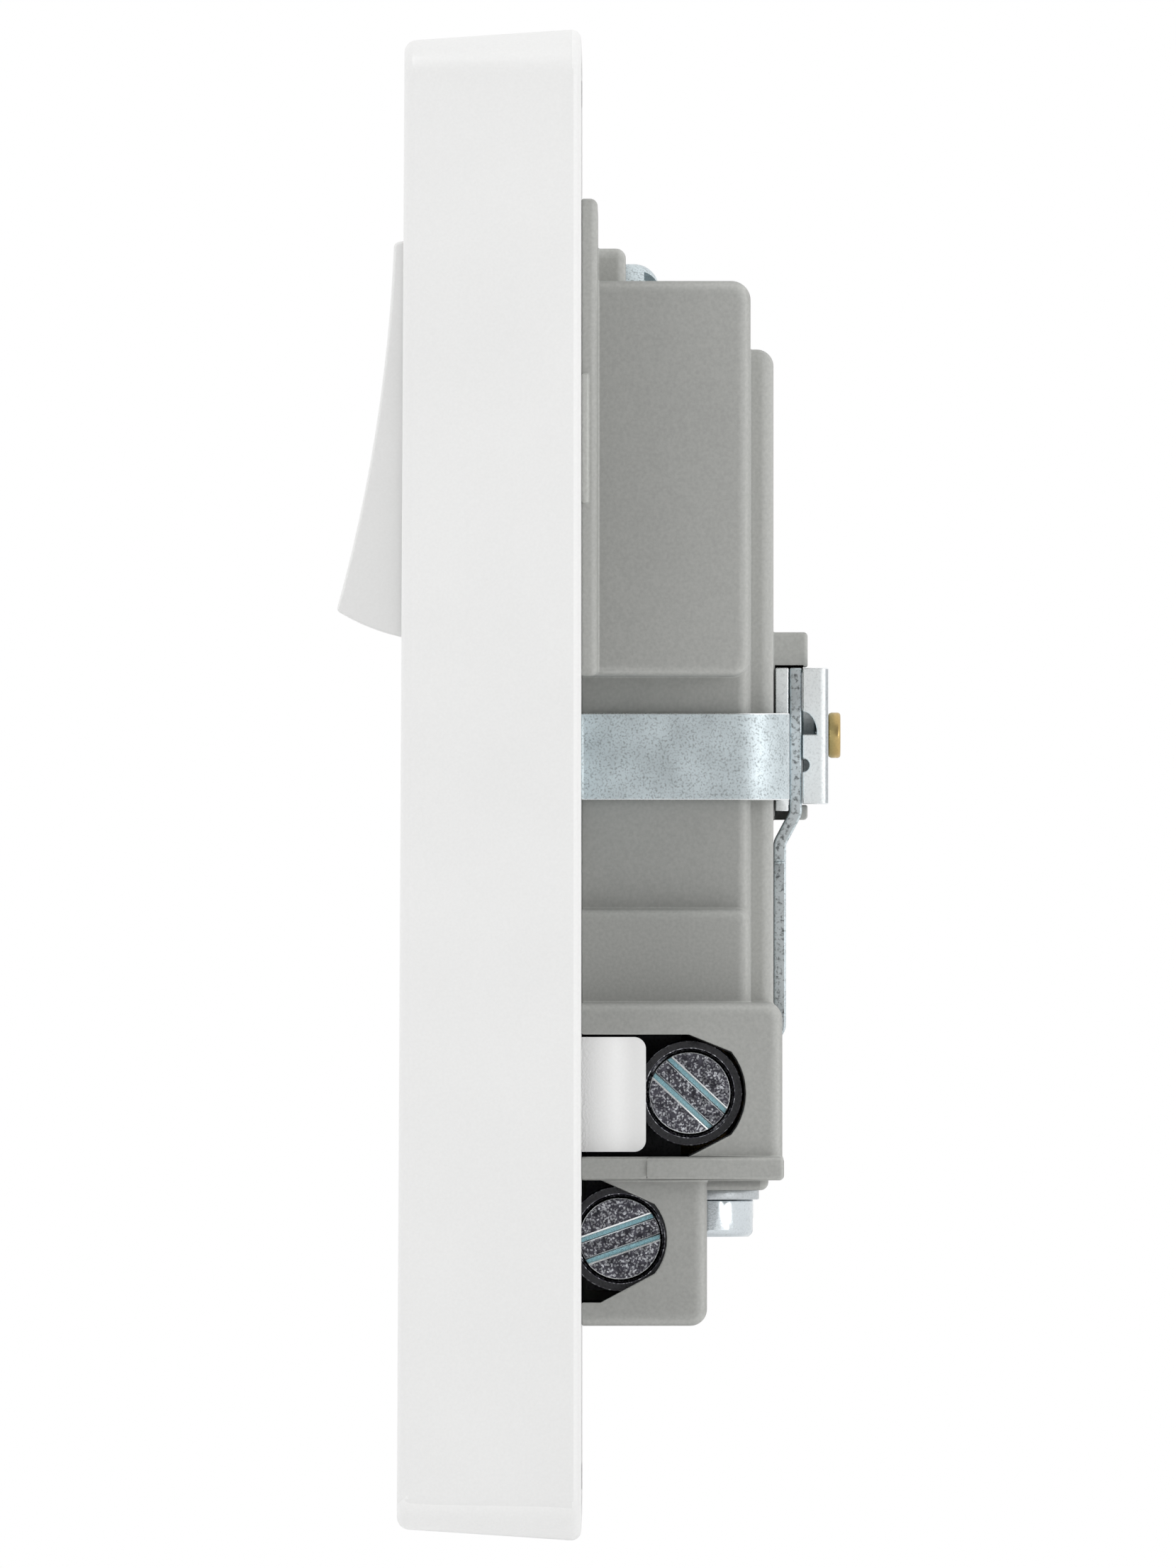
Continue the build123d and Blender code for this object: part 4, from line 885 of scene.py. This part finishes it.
def add_area_light(name, place, size, watts):
    """A soft square light that faces the socket."""
    light = bpy.data.lights.new(name, "AREA")
    light.size = size
    light.energy = watts
    lamp = bpy.data.objects.new(name, light)
    lamp.location = place
    lamp.rotation_euler = (-Vector(place)).to_track_quat("-Z", "Y").to_euler()
    bpy.context.scene.collection.objects.link(lamp)


def floor_material(stage):
    """Pale floor that keeps the socket's shadow and fades to the white around it."""
    made, shader = new_material("pale_floor", stage.floor_colour, metallic=0.0, roughness=0.9)
    nodes, links = made.node_tree.nodes, made.node_tree.links
    where = nodes.new("ShaderNodeTexCoord")
    reach = nodes.new("ShaderNodeVectorMath")
    reach.operation = "LENGTH"
    links.new(where.outputs["Object"], reach.inputs[0])
    fade = nodes.new("ShaderNodeMapRange")
    fade.interpolation_type = "SMOOTHSTEP"
    fade.inputs["From Min"].default_value = stage.fade_from
    fade.inputs["From Max"].default_value = stage.fade_to
    links.new(reach.outputs["Value"], fade.inputs["Value"])
    both = nodes.new("ShaderNodeMath")
    both.operation = "MULTIPLY"
    links.new(fade.outputs["Result"], both.inputs[0])
    shown = any_ray(nodes, links, ("Is Camera Ray", "Is Glossy Ray", "Is Transmission Ray"))
    links.new(shown, both.inputs[1])
    white = nodes.new("ShaderNodeEmission")
    mixed = nodes.new("ShaderNodeMixShader")
    links.new(both.outputs["Value"], mixed.inputs["Fac"])
    links.new(shader.outputs["BSDF"], mixed.inputs[1])
    links.new(white.outputs["Emission"], mixed.inputs[2])
    links.new(mixed.outputs["Shader"], nodes["Material Output"].inputs["Surface"])
    return made


class SOCKET_OT_stage(Operator):
    """Set up the floor, the light and the camera"""

    bl_idname = "socket.stage"
    bl_label = "Stage"

    def execute(self, context):
        stage = context.scene.socket_stage
        low, high = CAD_BOX
        shape = bmesh.new()
        bmesh.ops.create_grid(shape, x_segments=1, y_segments=1, size=stage.floor_reach)
        bmesh.ops.translate(shape, verts=shape.verts, vec=(0, 0, low.z - stage.floor_drop))
        mesh = bpy.data.meshes.new("floor")
        shape.to_mesh(mesh)
        shape.free()
        mesh.materials.append(floor_material(stage))
        floor = bpy.data.objects.new("floor", mesh)
        context.scene.collection.objects.link(floor)

        light_world(stage)
        add_area_light("key_light", stage.key_place, stage.light_size, stage.key_power)
        add_area_light("fill_light", stage.fill_place, stage.light_size, stage.fill_power)

        lens = bpy.data.cameras.new("camera")
        lens.lens = lens.sensor_width * stage.camera_distance / stage.frame_height
        lens.clip_start = CLIP_NEAR * stage.camera_distance
        lens.clip_end = CLIP_FAR * stage.camera_distance
        camera = bpy.data.objects.new("camera", lens)
        target = Vector((high.x, stage.look_y, stage.look_z))
        camera.location = target + Vector((stage.camera_distance, stage.camera_aside, 0))
        camera.rotation_euler = (target - camera.location).to_track_quat("-Z", "Y").to_euler()
        context.scene.collection.objects.link(camera)
        context.scene.camera = camera
        context.scene.view_settings.view_transform = "Standard"
        return {"FINISHED"}


# Panel and registration
class SOCKET_PT_panel(Panel):
    """Lists the steps that dress the socket"""

    bl_idname = "SOCKET_PT_panel"
    bl_label = "Wall socket"
    bl_space_type = "VIEW_3D"
    bl_region_type = "UI"
    bl_category = "Socket"

    def draw(self, context):
        for step in STEPS:
            self.layout.operator(step.bl_idname)


STEPS = (
    SOCKET_OT_front_plate,
    SOCKET_OT_rocker,
    SOCKET_OT_rear_housing,
    SOCKET_OT_terminals,
    SOCKET_OT_earth_metalwork,
    SOCKET_OT_assembly_screws,
    SOCKET_OT_switch,
    SOCKET_OT_shutter,
    SOCKET_OT_usb,
    SOCKET_OT_stage,
)
GROUPS = {
    "socket_finishes": SocketFinishes,
    "socket_sizes": SocketSizes,
    "socket_stage": SocketStage,
}


def register():
    """Register the properties, the steps and the panel."""
    for group in GROUPS.values():
        bpy.utils.register_class(group)
    for name, group in GROUPS.items():
        setattr(bpy.types.Scene, name, PointerProperty(type=group))
    for step in STEPS:
        bpy.utils.register_class(step)
    bpy.utils.register_class(SOCKET_PT_panel)


def unregister():
    """Take the panel, the steps and the properties away."""
    bpy.utils.unregister_class(SOCKET_PT_panel)
    for step in reversed(STEPS):
        bpy.utils.unregister_class(step)
    for name, group in GROUPS.items():
        delattr(bpy.types.Scene, name)
        bpy.utils.unregister_class(group)


def main():
    """Dress the socket."""
    register()
    bpy.ops.socket.front_plate()
    bpy.ops.socket.rocker()
    bpy.ops.socket.rear_housing()
    bpy.ops.socket.terminals()
    bpy.ops.socket.earth_metalwork()
    bpy.ops.socket.assembly_screws()
    bpy.ops.socket.switch()
    bpy.ops.socket.shutter()
    bpy.ops.socket.usb()
    bpy.ops.socket.stage()


if __name__ == "__main__":
    main()
